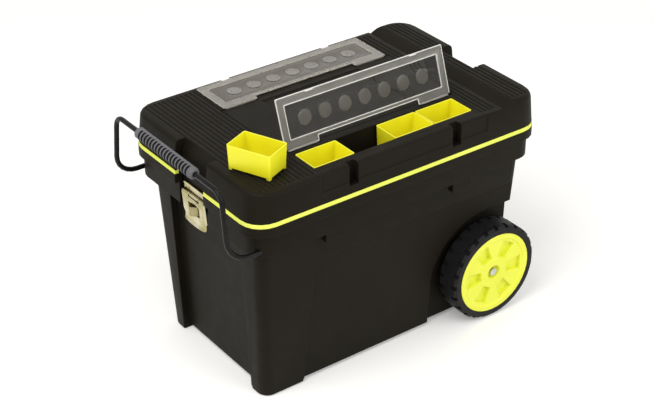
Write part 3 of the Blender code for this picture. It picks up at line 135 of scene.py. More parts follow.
def add_floor():
    bm = bmesh.new()
    bmesh.ops.create_grid(bm, x_segments=1, y_segments=1, size=FLOOR_HALF)
    mesh = bpy.data.meshes.new("studio_floor")
    bm.to_mesh(mesh)
    bm.free()
    floor = bpy.data.objects.new("studio_floor", mesh)
    bpy.context.scene.collection.objects.link(floor)
    floor.location.z = -FLOOR_DROP
    material = bpy.data.materials.new("studio_paper")
    material.use_nodes = True
    tree = material.node_tree
    shader = tree.nodes["Principled BSDF"]
    shader.inputs["Roughness"].default_value = 0.9
    shader.inputs["Specular IOR Level"].default_value = 0.1
    mottle = tree.nodes.new("ShaderNodeTexNoise")
    mottle.inputs["Scale"].default_value = 3.0
    tint = tree.nodes.new("ShaderNodeValToRGB")
    tint.color_ramp.elements[0].color = PAPER_DARK
    tint.color_ramp.elements[1].color = PAPER_PALE
    tree.links.new(mottle.outputs["Fac"], tint.inputs["Fac"])
    tree.links.new(tint.outputs["Color"], shader.inputs["Base Color"])
    lift = tree.nodes.new("ShaderNodeEmission")
    share = tree.nodes.new("ShaderNodeMath")
    share.operation = "MULTIPLY"
    share.inputs[1].default_value = PAPER_LIFT
    both = tree.nodes.new("ShaderNodeAddShader")
    tree.links.new(picture_rays(tree), share.inputs[0])
    tree.links.new(share.outputs[0], lift.inputs["Strength"])
    tree.links.new(shader.outputs[0], both.inputs[0])
    tree.links.new(lift.outputs[0], both.inputs[1])
    tree.links.new(both.outputs[0], tree.nodes["Material Output"].inputs["Surface"])
    mesh.materials.append(material)


add_floor()
print("paper laid", 2 * FLOOR_HALF, "metres wide")

# %% [markdown]
# ## Light
#
# A large soft box high on the left gives the top and the handle end their sheen, a weaker one fills the
# long side, and the surroundings add an even glow. Area lamps make the soft shadow edges that a studio's
# boxes make; a sun or a point lamp would draw hard ones.

# %% Light and colour
LIGHT_TARGET = Vector((0.0, 0.0, 0.2))
SKY_GLOW = 0.62
SKY_TINT = (1.0, 0.99, 0.97, 1.0)
WHITE = (1.0, 1.0, 1.0, 1.0)


def add_softbox(name, azimuth, elevation, distance, size, power):
    data = bpy.data.lights.new(name, "AREA")
    data.shape = "RECTANGLE"
    data.size = size[0]
    data.size_y = size[1]
    data.energy = power
    lamp = bpy.data.objects.new(name, data)
    bpy.context.scene.collection.objects.link(lamp)
    direction = look_from(azimuth, elevation)
    lamp.location = LIGHT_TARGET + direction * distance
    lamp.rotation_mode = "QUATERNION"
    lamp.rotation_quaternion = direction.to_track_quat("Z", "Y")


def light_world():
    world = bpy.data.worlds.new("white_sweep")
    bpy.context.scene.world = world
    world.use_nodes = True
    tree = world.node_tree
    glow = tree.nodes["Background"]
    glow.inputs["Color"].default_value = SKY_TINT
    glow.inputs["Strength"].default_value = SKY_GLOW
    seen = tree.nodes.new("ShaderNodeBackground")
    seen.inputs["Color"].default_value = WHITE
    seen.inputs["Strength"].default_value = 1.0
    mix = tree.nodes.new("ShaderNodeMixShader")
    tree.links.new(picture_rays(tree), mix.inputs["Fac"])
    tree.links.new(glow.outputs[0], mix.inputs[1])
    tree.links.new(seen.outputs[0], mix.inputs[2])
    tree.links.new(mix.outputs[0], tree.nodes["World Output"].inputs["Surface"])


bpy.context.scene.view_settings.view_transform = "Standard"
light_world()
add_softbox("key_softbox", azimuth=-75.0, elevation=55.0, distance=2.6, size=(1.6, 1.6), power=38.0)
add_softbox("fill_softbox", azimuth=20.0, elevation=35.0, distance=3.0, size=(2.0, 1.4), power=26.0)
print("two soft boxes and a glow of", SKY_GLOW)

# %% [markdown]
# ## Finishes
#
# Each finish is a small node tree round one Principled shader. A broad noise shifts the colour a little and
# a second one shifts the gloss, because no moulding is even. A class holds the tree while it is built, so
# that each finish below can be told in a few lines.

# %% Finish helper
NOISE_LOW, NOISE_HIGH = 0.3, 0.7


class Finish:
    """A node material under construction: a Principled shader with helpers to feed it."""

    def __init__(self, name, roughness, metallic=0.0):
        self.material = bpy.data.materials.new(name)
        self.material.use_nodes = True
        self.tree = self.material.node_tree
        self.shader = self.tree.nodes["Principled BSDF"]
        self.shader.inputs["Roughness"].default_value = roughness
        self.shader.inputs["Metallic"].default_value = metallic
        self.place = self.node("ShaderNodeTexCoord").outputs["Object"]
        self.normal = None

    def node(self, kind, **values):
        made = self.tree.nodes.new(kind)
        for key, value in values.items():
            made.inputs[key.replace("_", " ")].default_value = value
        return made

    def link(self, source, target):
        self.tree.links.new(source, target)

    def noise(self, scale, detail=4.0):
        made = self.node("ShaderNodeTexNoise", Scale=scale, Detail=detail)
        self.link(self.place, made.inputs["Vector"])
        return made.outputs["Fac"]

    def ramp(self, source, deep, pale, low=0.3, high=0.75):
        """The colour deep where the source is low, and pale where it is high."""
        made = self.node("ShaderNodeValToRGB")
        ends = made.color_ramp.elements
        for end, position, colour in zip(ends, (low, high), (deep, pale)):
            end.position = position
            end.color = (*colour, 1.0)
        self.link(source, made.inputs["Fac"])
        return made.outputs["Color"]

    def wander(self, scale, low, high):
        """Let the roughness wander in patches between two values."""
        made = self.node(
            "ShaderNodeMapRange", From_Min=NOISE_LOW, From_Max=NOISE_HIGH, To_Min=low, To_Max=high
        )
        self.link(self.noise(scale), made.inputs["Value"])
        self.link(made.outputs["Result"], self.shader.inputs["Roughness"])

    def mix(self, share, first, second):
        """first where share is 0 and the colour second where it is 1."""
        made = self.tree.nodes.new("ShaderNodeMix")
        made.data_type = "RGBA"
        self.link(share, made.inputs["Factor"])
        self.link(first, made.inputs["A"])
        made.inputs["B"].default_value = (*second, 1.0)
        return made.outputs["Result"]

    def scaled(self, source, by):
        made = self.node("ShaderNodeMath")
        made.operation = "MULTIPLY"
        self.link(source, made.inputs[0])
        made.inputs[1].default_value = by
        return made.outputs["Value"]

    def done(self, colour):
        self.link(colour, self.shader.inputs["Base Color"])
        if self.normal:
            self.link(self.normal, self.shader.inputs["Normal"])
        return self.material


def dress(names, material):
    for name in names:
        nodes[name].data.materials.clear()
        nodes[name].data.materials.append(material)


print("finish helper ready")

# %% [markdown]
# ## Edges, hollows and grain
#
# Three effects come back in most finishes, and two of them are painted light. The Bevel node rounds the
# look of sharp edges, and where it disagrees with the true surface there is an edge: those get a paler
# colour, a painted highlight. Ambient Occlusion finds the hollows, where a darker colour is painted shade,
# and a fine noise fed to Bump lifts the grain of the mould. They are worked out by the shader, so they fit
# any mesh without unwrapping it.

# %% Edges, hollows and grain
OPEN_COSINE, EDGE_COSINE = 0.98, 0.75
OPEN_LIGHT, HOLLOW_LIGHT = 0.75, 0.2


def round_edges(finish, radius):
    """Round the shading of sharp edges, while the mesh stays as it is."""
    bevel = finish.node("ShaderNodeBevel", Radius=radius)
    bevel.samples = 6
    finish.normal = bevel.outputs["Normal"]


def share_between(finish, source, none, full):
    """0 where the source has the value none, 1 where it has the value full."""
    made = finish.node("ShaderNodeMapRange", From_Min=none, From_Max=full, To_Min=0.0, To_Max=1.0)
    finish.link(source, made.inputs["Value"])
    return made.outputs["Result"]


# The paler colour laid on these edges is a painted highlight.
def painted_edge_highlight(finish, radius):
    """Round the edges; the result is 1 on them and 0 on open surface, the mask of a painted highlight."""
    round_edges(finish, radius)
    dot = finish.node("ShaderNodeVectorMath")
    dot.operation = "DOT_PRODUCT"
    finish.link(finish.normal, dot.inputs[0])
    finish.link(finish.node("ShaderNodeNewGeometry").outputs["Normal"], dot.inputs[1])
    return share_between(finish, dot.outputs["Value"], OPEN_COSINE, EDGE_COSINE)


def hollows(finish, reach):
    """1 deep in hollows no wider than the reach, 0 on open surface."""
    shade = finish.node("ShaderNodeAmbientOcclusion", Distance=reach)
    shade.samples = 8
    return share_between(finish, shade.outputs["AO"], OPEN_LIGHT, HOLLOW_LIGHT)


def grain(finish, scale, strength, depth, detail=2.0):
    """Lift the surface by a fine noise, over whatever rounding is there already."""
    bump = finish.node("ShaderNodeBump", Strength=strength, Distance=depth)
    finish.link(finish.noise(scale, detail), bump.inputs["Height"])
    if finish.normal:
        finish.link(finish.normal, bump.inputs["Normal"])
    finish.normal = bump.outputs["Normal"]


print("edges, hollows and grain ready")

# %% [markdown]
# ## Softening the solids
#
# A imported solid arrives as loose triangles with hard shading. Three modifiers turn it back into a
# moulding: Weld joins the triangles, Decimate dissolves the flat seams between them, and Bevel rounds
# the edges that a mould would round. The mesh itself stays as the CAD made it.

# %% Soften the solids
EDGE_ANGLE = math.radians(42.0)
SEAM_ANGLE = math.radians(0.5)
WELD_DISTANCE = 0.00001
MOULD_ROUND = 0.0008


def soften(name, width):
    """Smooth shading for one node, with its hard edges rounded to a width in metres."""
    obj = nodes[name]
    stored = obj.data.attributes
    for attribute in ("custom_normal", "sharp_edge", "sharp_face"):
        if attribute in stored:
            stored.remove(stored[attribute])
    weld = obj.modifiers.new("weld", "WELD")
    weld.merge_threshold = WELD_DISTANCE
    flat = obj.modifiers.new("flat_seams", "DECIMATE")
    flat.decimate_type = "DISSOLVE"
    flat.angle_limit = SEAM_ANGLE
    bevel = obj.modifiers.new("mould_round", "BEVEL")
    bevel.width = width
    bevel.segments = 2
    bevel.limit_method = "ANGLE"
    bevel.angle_limit = EDGE_ANGLE
    bevel.use_clamp_overlap = True
    bevel.harden_normals = True


for node_name in nodes:
    soften(node_name, MOULD_ROUND)
print("softened", len(nodes), "nodes")

# %% [markdown]
# ## Black moulding
#
# The tub and the lid are thick polypropylene: a warm near-black with a fine grain, a satin sheen, and edges
# painted paler as a highlight. A flat black would hide every form, so it is the weak, warm sheen and the
# painted edge highlights that draw the ribs and steps here.

# %% Black moulding
BLACK_DEEP = (0.0088, 0.0074, 0.0052)
BLACK_PALE = (0.0108, 0.0092, 0.0066)
BLACK_EDGE_HIGHLIGHT = (0.036, 0.032, 0.026)
BLACK_SHEEN = 0.077
WARM_SHEEN = (1.0, 0.88, 0.68, 1.0)


def black_moulding():
    finish = Finish("black_moulding", roughness=0.5)
    finish.shader.inputs["Specular IOR Level"].default_value = BLACK_SHEEN
    finish.shader.inputs["Specular Tint"].default_value = WARM_SHEEN
    # Painted highlight: a paler black along the sharp edges.
    edge_highlight = finish.scaled(painted_edge_highlight(finish, radius=0.0016), by=0.5)
    colour = finish.ramp(finish.noise(scale=9.0, detail=3.0), BLACK_DEEP, BLACK_PALE)
    colour = finish.mix(edge_highlight, colour, BLACK_EDGE_HIGHLIGHT)
    finish.wander(scale=40.0, low=0.46, high=0.53)
    grain(finish, scale=1400.0, strength=0.35, depth=0.0004)
    return finish.done(colour)


BLACK_PIECES = [name for name in nodes if name.startswith(("tub", "lid", "rod_guide", "axle_spacer"))]
BLACK_PIECES.remove("lid_hinge_pin")
BLACK_PIECES += [name for name in nodes if "cover_pin" in name]
BLACK_MOULDING = black_moulding()
dress(BLACK_PIECES, BLACK_MOULDING)
print("black:", BLACK_PIECES)

# %% [markdown]
# ## Yellow mouldings
#
# Bins, wheel discs and the rim's seal are three yellows of one family: the bins are the warmest and the
# glossiest, the discs lean to green, and the seal is a soft matt lemon. One helper makes all three, so that
# their grain and their painted edge highlights agree.

# %% Yellow finishes
YELLOW_EDGE_HIGHLIGHT = (0.98, 0.97, 0.30)
BIN_SHADE = (0.55, 0.47, 0.002)
BIN_REACH = 0.06


def yellow_moulding(name, pale, deep, roughness, inside=0.0):
    """A yellow finish; inside is how strongly painted shade darkens its hollows."""
    finish = Finish(name, roughness)
    edge_highlight = finish.scaled(painted_edge_highlight(finish, radius=0.0012), by=0.35)
    colour = finish.ramp(finish.noise(scale=14.0, detail=3.0), deep, pale)
    if inside:
        # Painted shade: Ambient Occlusion darkens the bins' hollows towards a deeper, olive yellow.
        colour = finish.mix(finish.scaled(hollows(finish, BIN_REACH), by=inside), colour, BIN_SHADE)
    # Painted highlight: a paler yellow along the sharp edges.
    colour = finish.mix(edge_highlight, colour, YELLOW_EDGE_HIGHLIGHT)
    finish.wander(scale=60.0, low=roughness - 0.06, high=roughness + 0.08)
    grain(finish, scale=900.0, strength=0.15, depth=0.0003)
    return finish.done(colour)


YELLOW_BIN = yellow_moulding(
    "yellow_bin", pale=(0.97, 0.93, 0.022), deep=(0.94, 0.89, 0.014), roughness=0.36, inside=0.6
)
YELLOW_DISC = yellow_moulding(
    "yellow_disc", pale=(0.88, 0.91, 0.075), deep=(0.83, 0.86, 0.05), roughness=0.42
)
LEMON_SEAL = yellow_moulding(
    "lemon_seal", pale=(0.86, 0.92, 0.13), deep=(0.80, 0.86, 0.10), roughness=0.55
)
dress([name for name in nodes if name.startswith("bin_")], YELLOW_BIN)
dress(["wheel_disc_front", "wheel_disc_rear"], YELLOW_DISC)
dress(["rim_seal"], LEMON_SEAL)
print("yellow pieces dressed")

# %% [markdown]
# ## Rubber
#
# The tyres are hard black rubber and the grip is a softer dark grey one. Rubber has little gloss, a fine
# powdery grain, and here edges painted paler as a highlight. The edge colour is worked out from the
# rubber's own, so that one helper serves both: the painted highlight makes a black paler and leaves it a
# black.

# %% Rubber
RUBBER_SHEEN = 0.2
EDGE_HIGHLIGHT_GAIN = 2.2


def rubber(name, dark, pale, roughness, powder):
    """A rubber finish; powder is how fine its grain is."""
    finish = Finish(name, roughness)
    finish.shader.inputs["Specular IOR Level"].default_value = RUBBER_SHEEN
    # Painted highlight: the edges get a paler copy of the rubber's colour.
    edge_highlight = finish.scaled(painted_edge_highlight(finish, radius=0.0012), by=0.45)
    colour = finish.ramp(finish.noise(scale=25.0), dark, pale)
    highlight_colour = tuple(EDGE_HIGHLIGHT_GAIN * v for v in pale)
    colour = finish.mix(edge_highlight, colour, highlight_colour)
    finish.wander(scale=80.0, low=roughness - 0.08, high=roughness + 0.08)
    grain(finish, scale=powder, strength=0.4, depth=0.0004, detail=3.0)
    return finish.done(colour)


TYRE_RUBBER = rubber(
    "tyre_rubber", dark=(0.007, 0.0062, 0.0066), pale=(0.012, 0.011, 0.0115), roughness=0.6, powder=700.0
)
dress(["tyre_front", "tyre_rear"], TYRE_RUBBER)
print("tyres dressed")

# %% [markdown]
# ## Metal
#
# The hinge pin, the latch pin, the axle with its caps and the rod's collars are bright steel. The hasp and
# its rivets are steel with a yellow zinc plating, darkened in its hollows by painted shade, and the staple
# has a darker copy of that plating, painted shade for where it stands in the plate's window. Metal has no
# colour of its own but its reflection's, so the finish is a metallic tint with a gloss that wanders.

# %% Metal
# Reach and colour of the painted shade in the zinc's hollows.
HOLLOW_SHADE_REACH = 0.009
ZINC_HOLLOW_SHADE = (0.10, 0.08, 0.03)


def metal(name, dark, pale, roughness, patches, hollow_shade=None):
    """A metal finish; patches is how fine its mottle is, and the last argument, if given, the colour of
    painted shade in its hollows.
    """
    finish = Finish(name, roughness, metallic=1.0)
    round_edges(finish, radius=0.0006)
    colour = finish.ramp(finish.noise(patches), dark, pale, high=0.7)
    if hollow_shade:
        # Painted shade: Ambient Occlusion darkens the hollows towards the given colour.
        colour = finish.mix(hollows(finish, HOLLOW_SHADE_REACH), colour, hollow_shade)
    finish.wander(scale=4 * patches, low=roughness - 0.1, high=roughness + 0.12)
    grain(finish, scale=1500.0, strength=0.04, depth=0.0002)
    return finish.done(colour)


BRIGHT_STEEL = metal(
    "bright_steel", dark=(0.46, 0.46, 0.45), pale=(0.62, 0.62, 0.60), roughness=0.3, patches=60.0
)
YELLOW_ZINC = metal(
    "yellow_zinc", dark=(0.40, 0.36, 0.15), pale=(0.68, 0.62, 0.46),
    roughness=0.24, patches=32.0, hollow_shade=ZINC_HOLLOW_SHADE,
)
# A darker copy of the yellow zinc: painted shade for the staple inside the plate's window.
SHADED_ZINC = metal(
    "shaded_zinc", dark=(0.24, 0.21, 0.10), pale=(0.36, 0.32, 0.17),
    roughness=0.3, patches=45.0, hollow_shade=ZINC_HOLLOW_SHADE,
)
STEEL_PIECES = ["lid_hinge_pin", "latch_pin", "axle"]
STEEL_PIECES += [name for name in nodes if name.startswith(("axle_cap", "rod_stop"))]
dress(STEEL_PIECES, BRIGHT_STEEL)
dress(["latch_rivet_front", "latch_rivet_rear"], YELLOW_ZINC)
print("steel:", STEEL_PIECES)

# %% [markdown]
# ## Handle rod
#
# The rod is steel with a baked black coating: darker and glossier than the plastic beside it, so that it
# shows one thin light line along its length. The bent solid is smooth already, and only needs the finish.

# %% Handle rod
COATING_DEEP = (0.0045, 0.0043, 0.0042)
COATING_PALE = (0.008, 0.0076, 0.0072)
COATING_SHEEN = 0.14


def coated_rod():
    finish = Finish("black_coating", roughness=0.32)
    finish.shader.inputs["Specular IOR Level"].default_value = COATING_SHEEN
    colour = finish.ramp(finish.noise(scale=70.0), COATING_DEEP, COATING_PALE)
    finish.wander(scale=140.0, low=0.22, high=0.36)
    grain(finish, scale=1300.0, strength=0.12, depth=0.0002)
    return finish.done(colour)


dress(["handle_rod"], coated_rod())
print("rod coated")

# %% [markdown]
# ## Moulded and bent sheet
#
# Several pieces are flat shapes with a thickness: the covers, the leaf and the staple of the hasp. Blender
# fills a flat curve, takes a second curve inside it as a hole, extrudes it and rounds its edges, all from a
# list of outline points. That is quicker and cleaner than cutting holes with Booleans.

# %% Plates from outlines
CORNER_STEPS = 5


def rounded_outline(corners, radius):
    """The points of a flat outline whose corners are rounded."""
    points = []
    count = len(corners)
    for n, corner in enumerate(corners):
        here = Vector(corner)
        start = here + (Vector(corners[n - 1]) - here).normalized() * radius
        end = here + (Vector(corners[(n + 1) % count]) - here).normalized() * radius
        for step in range(CORNER_STEPS + 1):
            share = step / CORNER_STEPS
            points.append(start * (1 - share) ** 2 + here * 2 * share * (1 - share) + end * share**2)
    return points


def circle(x, y, radius, sides=40):
    turns = [2 * math.pi * n / sides for n in range(sides)]
    return [Vector((x + radius * math.cos(t), y + radius * math.sin(t))) for t in turns]


def moulded_plate(outlines, low, high, edge):
    """A flat plate between two heights with its edges rounded; outlines inside others are holes."""
    curve = bpy.data.curves.new("plate", "CURVE")
    curve.dimensions = "2D"
    curve.fill_mode = "BOTH"
    curve.extrude = (high - low) / 2 - edge
    curve.bevel_depth = edge
    curve.bevel_resolution = 2
    curve.offset = -edge
    for outline in outlines:
        spline = curve.splines.new("POLY")
        spline.points.add(len(outline) - 1)
        for point, place in zip(spline.points, outline):
            point.co = (place.x, place.y, 0.0, 1.0)
        spline.use_cyclic_u = True
    drawn = bpy.data.objects.new("plate", curve)
    bpy.context.scene.collection.objects.link(drawn)
    depsgraph = bpy.context.evaluated_depsgraph_get()
    mesh = bpy.data.meshes.new_from_object(drawn.evaluated_get(depsgraph))
    bpy.data.objects.remove(drawn)
    mesh.transform(Matrix.Translation((0.0, 0.0, (low + high) / 2)))
    return mesh


print("plate helper ready, corners in", CORNER_STEPS, "steps")

# %% [markdown]
# Rolls, knuckles and studs are round bars. A capless tube would show its open end, so a bar is a capped
# cone of one radius, whose two rims are beveled and which is then turned to lie between its end points.

# %% Round bars
BAR_SIDES = 24
END_ROUND = 0.3
END_STEPS = 3


def mesh_from(bm, name):
    """Hand a bmesh over as a smooth-shaded mesh."""
    for face in bm.faces:
        face.smooth = True
    mesh = bpy.data.meshes.new(name)
    bm.to_mesh(mesh)
    bm.free()
    return mesh


def rod_mesh(start, end, radius):
    """A round bar between two points, with its ends rounded off."""
    bm = bmesh.new()
    along = Vector(end) - Vector(start)
    bmesh.ops.create_cone(
        bm, cap_ends=True, segments=BAR_SIDES, radius1=radius, radius2=radius, depth=along.length
    )
    rims = [edge for edge in bm.edges if any(len(face.verts) > 4 for face in edge.link_faces)]
    bmesh.ops.bevel(bm, geom=rims, offset=radius * END_ROUND, segments=END_STEPS, affect="EDGES")
    turn = along.to_track_quat("Z", "Y").to_matrix().to_4x4()
    bm.transform(Matrix.Translation((Vector(start) + Vector(end)) / 2) @ turn)
    return mesh_from(bm, "bar")


print("bars have", BAR_SIDES, "sides")

# %% [markdown]
# A finished piece is often several meshes with their own finishes. This helper joins them into one object,
# keeps the finishes apart as material slots, and marks the edges that stay sharp.

# %% Joining meshes into a piece
SHARP_EDGE = math.radians(38.0)
MERGE_DISTANCE = 0.000002


def gather(name, parts):
    """One object from pairs of a mesh and its finish."""
    bm = bmesh.new()
    finishes = []
    for mesh, finish in parts:
        if finish not in finishes:
            finishes.append(finish)
        first = len(bm.faces)
        bm.from_mesh(mesh)
        bpy.data.meshes.remove(mesh)
        bm.faces.ensure_lookup_table()
        for face in bm.faces[first:]:
            face.material_index = finishes.index(finish)
    bmesh.ops.remove_doubles(bm, verts=bm.verts, dist=MERGE_DISTANCE)
    joined = mesh_from(bm, name)
    for finish in finishes:
        joined.materials.append(finish)
    joined.set_sharp_from_angle(angle=SHARP_EDGE)
    obj = bpy.data.objects.new(name, joined)
    bpy.context.scene.collection.objects.link(obj)
    return obj


def settle(piece, body, slot, *replaced):
    """Let a piece ride on a body, in place of CAD nodes; the slot argument is not used."""
    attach(piece, body)
    if replaced:
        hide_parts(*replaced)
    print(piece.name, "on", body, len(piece.data.polygons), "faces")


print("joining helpers ready")

# %% [markdown]
# ## Clear organiser covers
#
# Each cover is one clear moulding with several textures: a frosted frame between two beads, a polished
# pane, and a row of seven frosted thumb dishes. The beads are the brightest part: their pale, less clear
# finish is a painted highlight along the cover's edges. Transmission in the Principled shader, with a
# different roughness and clearness for each texture, gives the rest. The open front cover shows its inner
# side. The rear one shows its outer side, which lies level under the soft box; its finishes are duller,
# less clear copies, a painted sheen for the light that this level pane reflects.

# %% Clear finishes
def clear_plastic(name, roughness, clear, bend, pale, deep):
    """A clear finish; clear is the share of light let through, and bend how strongly it is bent."""
    finish = Finish(name, roughness)
    finish.shader.inputs["Transmission Weight"].default_value = clear
    finish.shader.inputs["IOR"].default_value = bend
    colour = finish.ramp(finish.noise(scale=35.0), deep, pale)
    finish.wander(scale=90.0, low=0.8 * roughness, high=1.25 * roughness)
    grain(finish, scale=1200.0, strength=0.1 * roughness, depth=0.0002)
    return finish.done(colour)


INNER_SIDE = {
    "frame": clear_plastic(
        "frosted_inside", roughness=0.4, clear=0.86, bend=1.36,
        pale=(0.66, 0.645, 0.60), deep=(0.56, 0.545, 0.50),
    ),
    # Painted highlight: a pale, less clear finish that brightens the beads and catches.
    "bead": clear_plastic(
        "bead_painted_highlight", roughness=0.2, clear=0.25, bend=1.46,
        pale=(0.95, 0.94, 0.90), deep=(0.88, 0.87, 0.83),
    ),
    "pane": clear_plastic(
        "polished_pane", roughness=0.03, clear=0.99, bend=1.12,
        pale=(0.97, 0.965, 0.95), deep=(0.94, 0.935, 0.92),
    ),
    "dish": clear_plastic(
        "frosted_dish", roughness=0.5, clear=0.90, bend=1.16,
        pale=(0.62, 0.60, 0.55), deep=(0.54, 0.52, 0.48),
    ),
}
# The rear cover's finishes are duller, less clear copies: a painted sheen for the light its level pane
# reflects.
OUTER_SIDE = {
    "frame": clear_plastic(
        "frosted_outside", roughness=0.4, clear=0.80, bend=1.42,
        pale=(0.75, 0.72, 0.66), deep=(0.67, 0.64, 0.58),
    ),
    "bead": clear_plastic(
        "rear_bead_painted_sheen", roughness=0.3, clear=0.70, bend=1.42,
        pale=(0.84, 0.81, 0.75), deep=(0.76, 0.73, 0.67),
    ),
    "pane": clear_plastic(
        "rear_pane_painted_sheen", roughness=0.20, clear=0.55, bend=1.42,
        pale=(0.25, 0.225, 0.18), deep=(0.20, 0.18, 0.145),
    ),
    "dish": clear_plastic(
        "rear_dish_painted_sheen", roughness=0.3, clear=0.55, bend=1.46,
        pale=(0.42, 0.40, 0.36), deep=(0.37, 0.35, 0.31),
    ),
}
print("clear finishes:", len(INNER_SIDE) + len(OUTER_SIDE))

# %% [markdown]
# The cover is drawn closed, in the sizes of the CAD cover, and then turned about its hinge. Its outline
# steps back between the two hinge tabs, so one list of corners, drawn in by a small distance each time,
# gives the outer bead and the frame.

# %% Cover outlines
COVER_LOW, COVER_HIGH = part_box("rear_cover")
COVER_LEFT, COVER_RIGHT = COVER_LOW.x, COVER_HIGH.x
COVER_MIDDLE = (COVER_LEFT + COVER_RIGHT) / 2
COVER_PIN = sum(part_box("rear_cover_pin_left"), Vector()) / 2
EDGE_INSET = 0.0015
COVER_EDGE_Y = COVER_HIGH.y - EDGE_INSET
CATCH_DROP = 0.0041
COVER_UNDER = COVER_LOW.z + CATCH_DROP
COVER_TAB = 0.065
COVER_NOTCH = 0.008
COVER_ROUND = 0.002
TAB_OVERHANG = 0.0016
FRAME_WIDTH = 0.014


def cover_outline(side, inset):
    """The cover's outline, drawn in by a distance; side is -1 at the front and 1 at the rear."""
    left, right = COVER_LEFT + inset, COVER_RIGHT - inset
    tab_left, tab_right = COVER_LEFT + COVER_TAB - inset, COVER_RIGHT - COVER_TAB + inset
    near = side * (COVER_PIN.y - TAB_OVERHANG + inset)
    step = side * (COVER_PIN.y + COVER_NOTCH + inset)
    far = side * (COVER_EDGE_Y - inset)
    corners = [(left, near), (left, far), (right, far), (right, near)]
    corners += [(tab_right, near), (tab_right, step), (tab_left, step), (tab_left, near)]
    return rounded_outline(corners, COVER_ROUND)


def pane_span(side):
    """The pane's two edges in Y, the hinge's first."""
    near = COVER_PIN.y + COVER_NOTCH + FRAME_WIDTH / 2
    return side * near, side * (COVER_EDGE_Y - FRAME_WIDTH)


def pane_outline(side, outset):
    left, right = COVER_LEFT + FRAME_WIDTH - outset, COVER_RIGHT - FRAME_WIDTH + outset
    near, far = pane_span(side)
    near -= side * outset
    far += side * outset
    return rounded_outline([(left, near), (left, far), (right, far), (right, near)], COVER_ROUND)


print("cover hinge at", [round(v, 4) for v in COVER_PIN])

# %% [markdown]
# A thumb dish is a shallow cup set in the pane. A ball flattened to a thin shell, with its rim lifted by
# the square of the distance from the middle, makes the cup with no seam and a closed edge.

# %% Thumb dish
SPOTS = 7
SPOT_PITCH = 0.039
SPOT_RADIUS = 0.0125
SPOT_SHELL = 0.0003
SPOT_CUP = 0.0011
SPOT_RISE = 0.0005


def thumb_dish(x, y):
    bm = bmesh.new()
    bmesh.ops.create_uvsphere(bm, u_segments=40, v_segments=14, radius=SPOT_RADIUS)
    for vert in bm.verts:
        out = vert.co.xy.length / SPOT_RADIUS
        vert.co.z = vert.co.z * SPOT_SHELL / SPOT_RADIUS + SPOT_CUP * out**2
    bm.transform(Matrix.Translation((x, y, COVER_UNDER + SPOT_RISE)))
    return mesh_from(bm, "dish")


SPOT_PLACES = [COVER_MIDDLE + (n - (SPOTS - 1) / 2) * SPOT_PITCH for n in range(SPOTS)]
print("dishes at", [round(x, 3) for x in SPOT_PLACES])

# %% [markdown]
# Now the pieces of each cover come together: beads, frame, pane, dishes, the rolls that turn on the pins,
# and two small catches at the far edge that snap into the lid's recesses.

# %% Covers
BEAD_WIDTH = 0.0014
BEAD_GAP = 0.0001
BEAD_RISE = (0.0, 0.0022)
BEAD_EDGE = 0.0004
FRAME_RISE = (0.0, 0.0019)
FRAME_EDGE = 0.0006
PANE_RISE = (0.0001, 0.0011)
PANE_EDGE = 0.00005
ROLL_RADIUS = 0.0024
ROLL_INSET = 0.004
CATCH_X = 0.103
CATCH_HALF = 0.007
CATCH_THICK = 0.0024
CATCH_RISE = (-CATCH_DROP, 0.0003)
CATCH_ROUND = COVER_ROUND / 3
CATCH_PLACES = (COVER_MIDDLE - CATCH_X, COVER_MIDDLE + CATCH_X)
OPEN_TURN = math.radians(-109.0)


def cover_plate(outlines, rise, edge):
    """A plate of the cover, with its two faces at rises above the cover's underside."""
    low, high = (COVER_UNDER + up for up in rise)
    return moulded_plate(outlines, low, high, edge)


def cover_beads(side):
    outer = [cover_outline(side, 0.0), cover_outline(side, BEAD_WIDTH)]
    inner = [pane_outline(side, BEAD_WIDTH), pane_outline(side, 0.0)]
    return [cover_plate(pair, BEAD_RISE, BEAD_EDGE) for pair in (outer, inner)]


def cover_rolls(side):
    spans = ((COVER_LEFT, COVER_LEFT + COVER_TAB), (COVER_RIGHT - COVER_TAB, COVER_RIGHT))
    for start, end in spans:
        ends = [(x, side * COVER_PIN.y, COVER_PIN.z) for x in (start + ROLL_INSET, end - ROLL_INSET)]
        yield rod_mesh(*ends, ROLL_RADIUS)


def cover_catches(side):
    near, far = side * (COVER_EDGE_Y - CATCH_THICK), side * COVER_EDGE_Y
    for x in CATCH_PLACES:
        left, right = x - CATCH_HALF, x + CATCH_HALF
        outline = rounded_outline([(left, near), (left, far), (right, far), (right, near)], CATCH_ROUND)
        yield cover_plate([outline], CATCH_RISE, BEAD_EDGE)


def cover(name, side, turn, finish):
    """A cover turned about its hinge."""
    parts = [(bead, finish["bead"]) for bead in cover_beads(side)]
    past_bead = BEAD_WIDTH + BEAD_GAP
    frame_outlines = [cover_outline(side, past_bead), pane_outline(side, past_bead)]
    parts.append((cover_plate(frame_outlines, FRAME_RISE, FRAME_EDGE), finish["frame"]))
    middle = sum(pane_span(side)) / 2
    pane_outlines = [pane_outline(side, -BEAD_GAP)]
    pane_outlines += [circle(x, middle, SPOT_RADIUS) for x in SPOT_PLACES]
    parts.append((cover_plate(pane_outlines, PANE_RISE, PANE_EDGE), finish["pane"]))
    parts += [(thumb_dish(x, middle), finish["dish"]) for x in SPOT_PLACES]
    parts += [(roll, finish["frame"]) for roll in cover_rolls(side)]
    parts += [(catch, finish["bead"]) for catch in cover_catches(side)]
    made = gather(name, parts)
    hinge = Matrix.Translation((0.0, side * COVER_PIN.y, COVER_PIN.z))
    made.data.transform(hinge @ Matrix.Rotation(turn, 4, "X") @ hinge.inverted())
    return made


front_cover = cover("front_clear_cover", -1, OPEN_TURN, INNER_SIDE)
settle(front_cover, "front_cover_body", "clear_plastic", "front_cover")
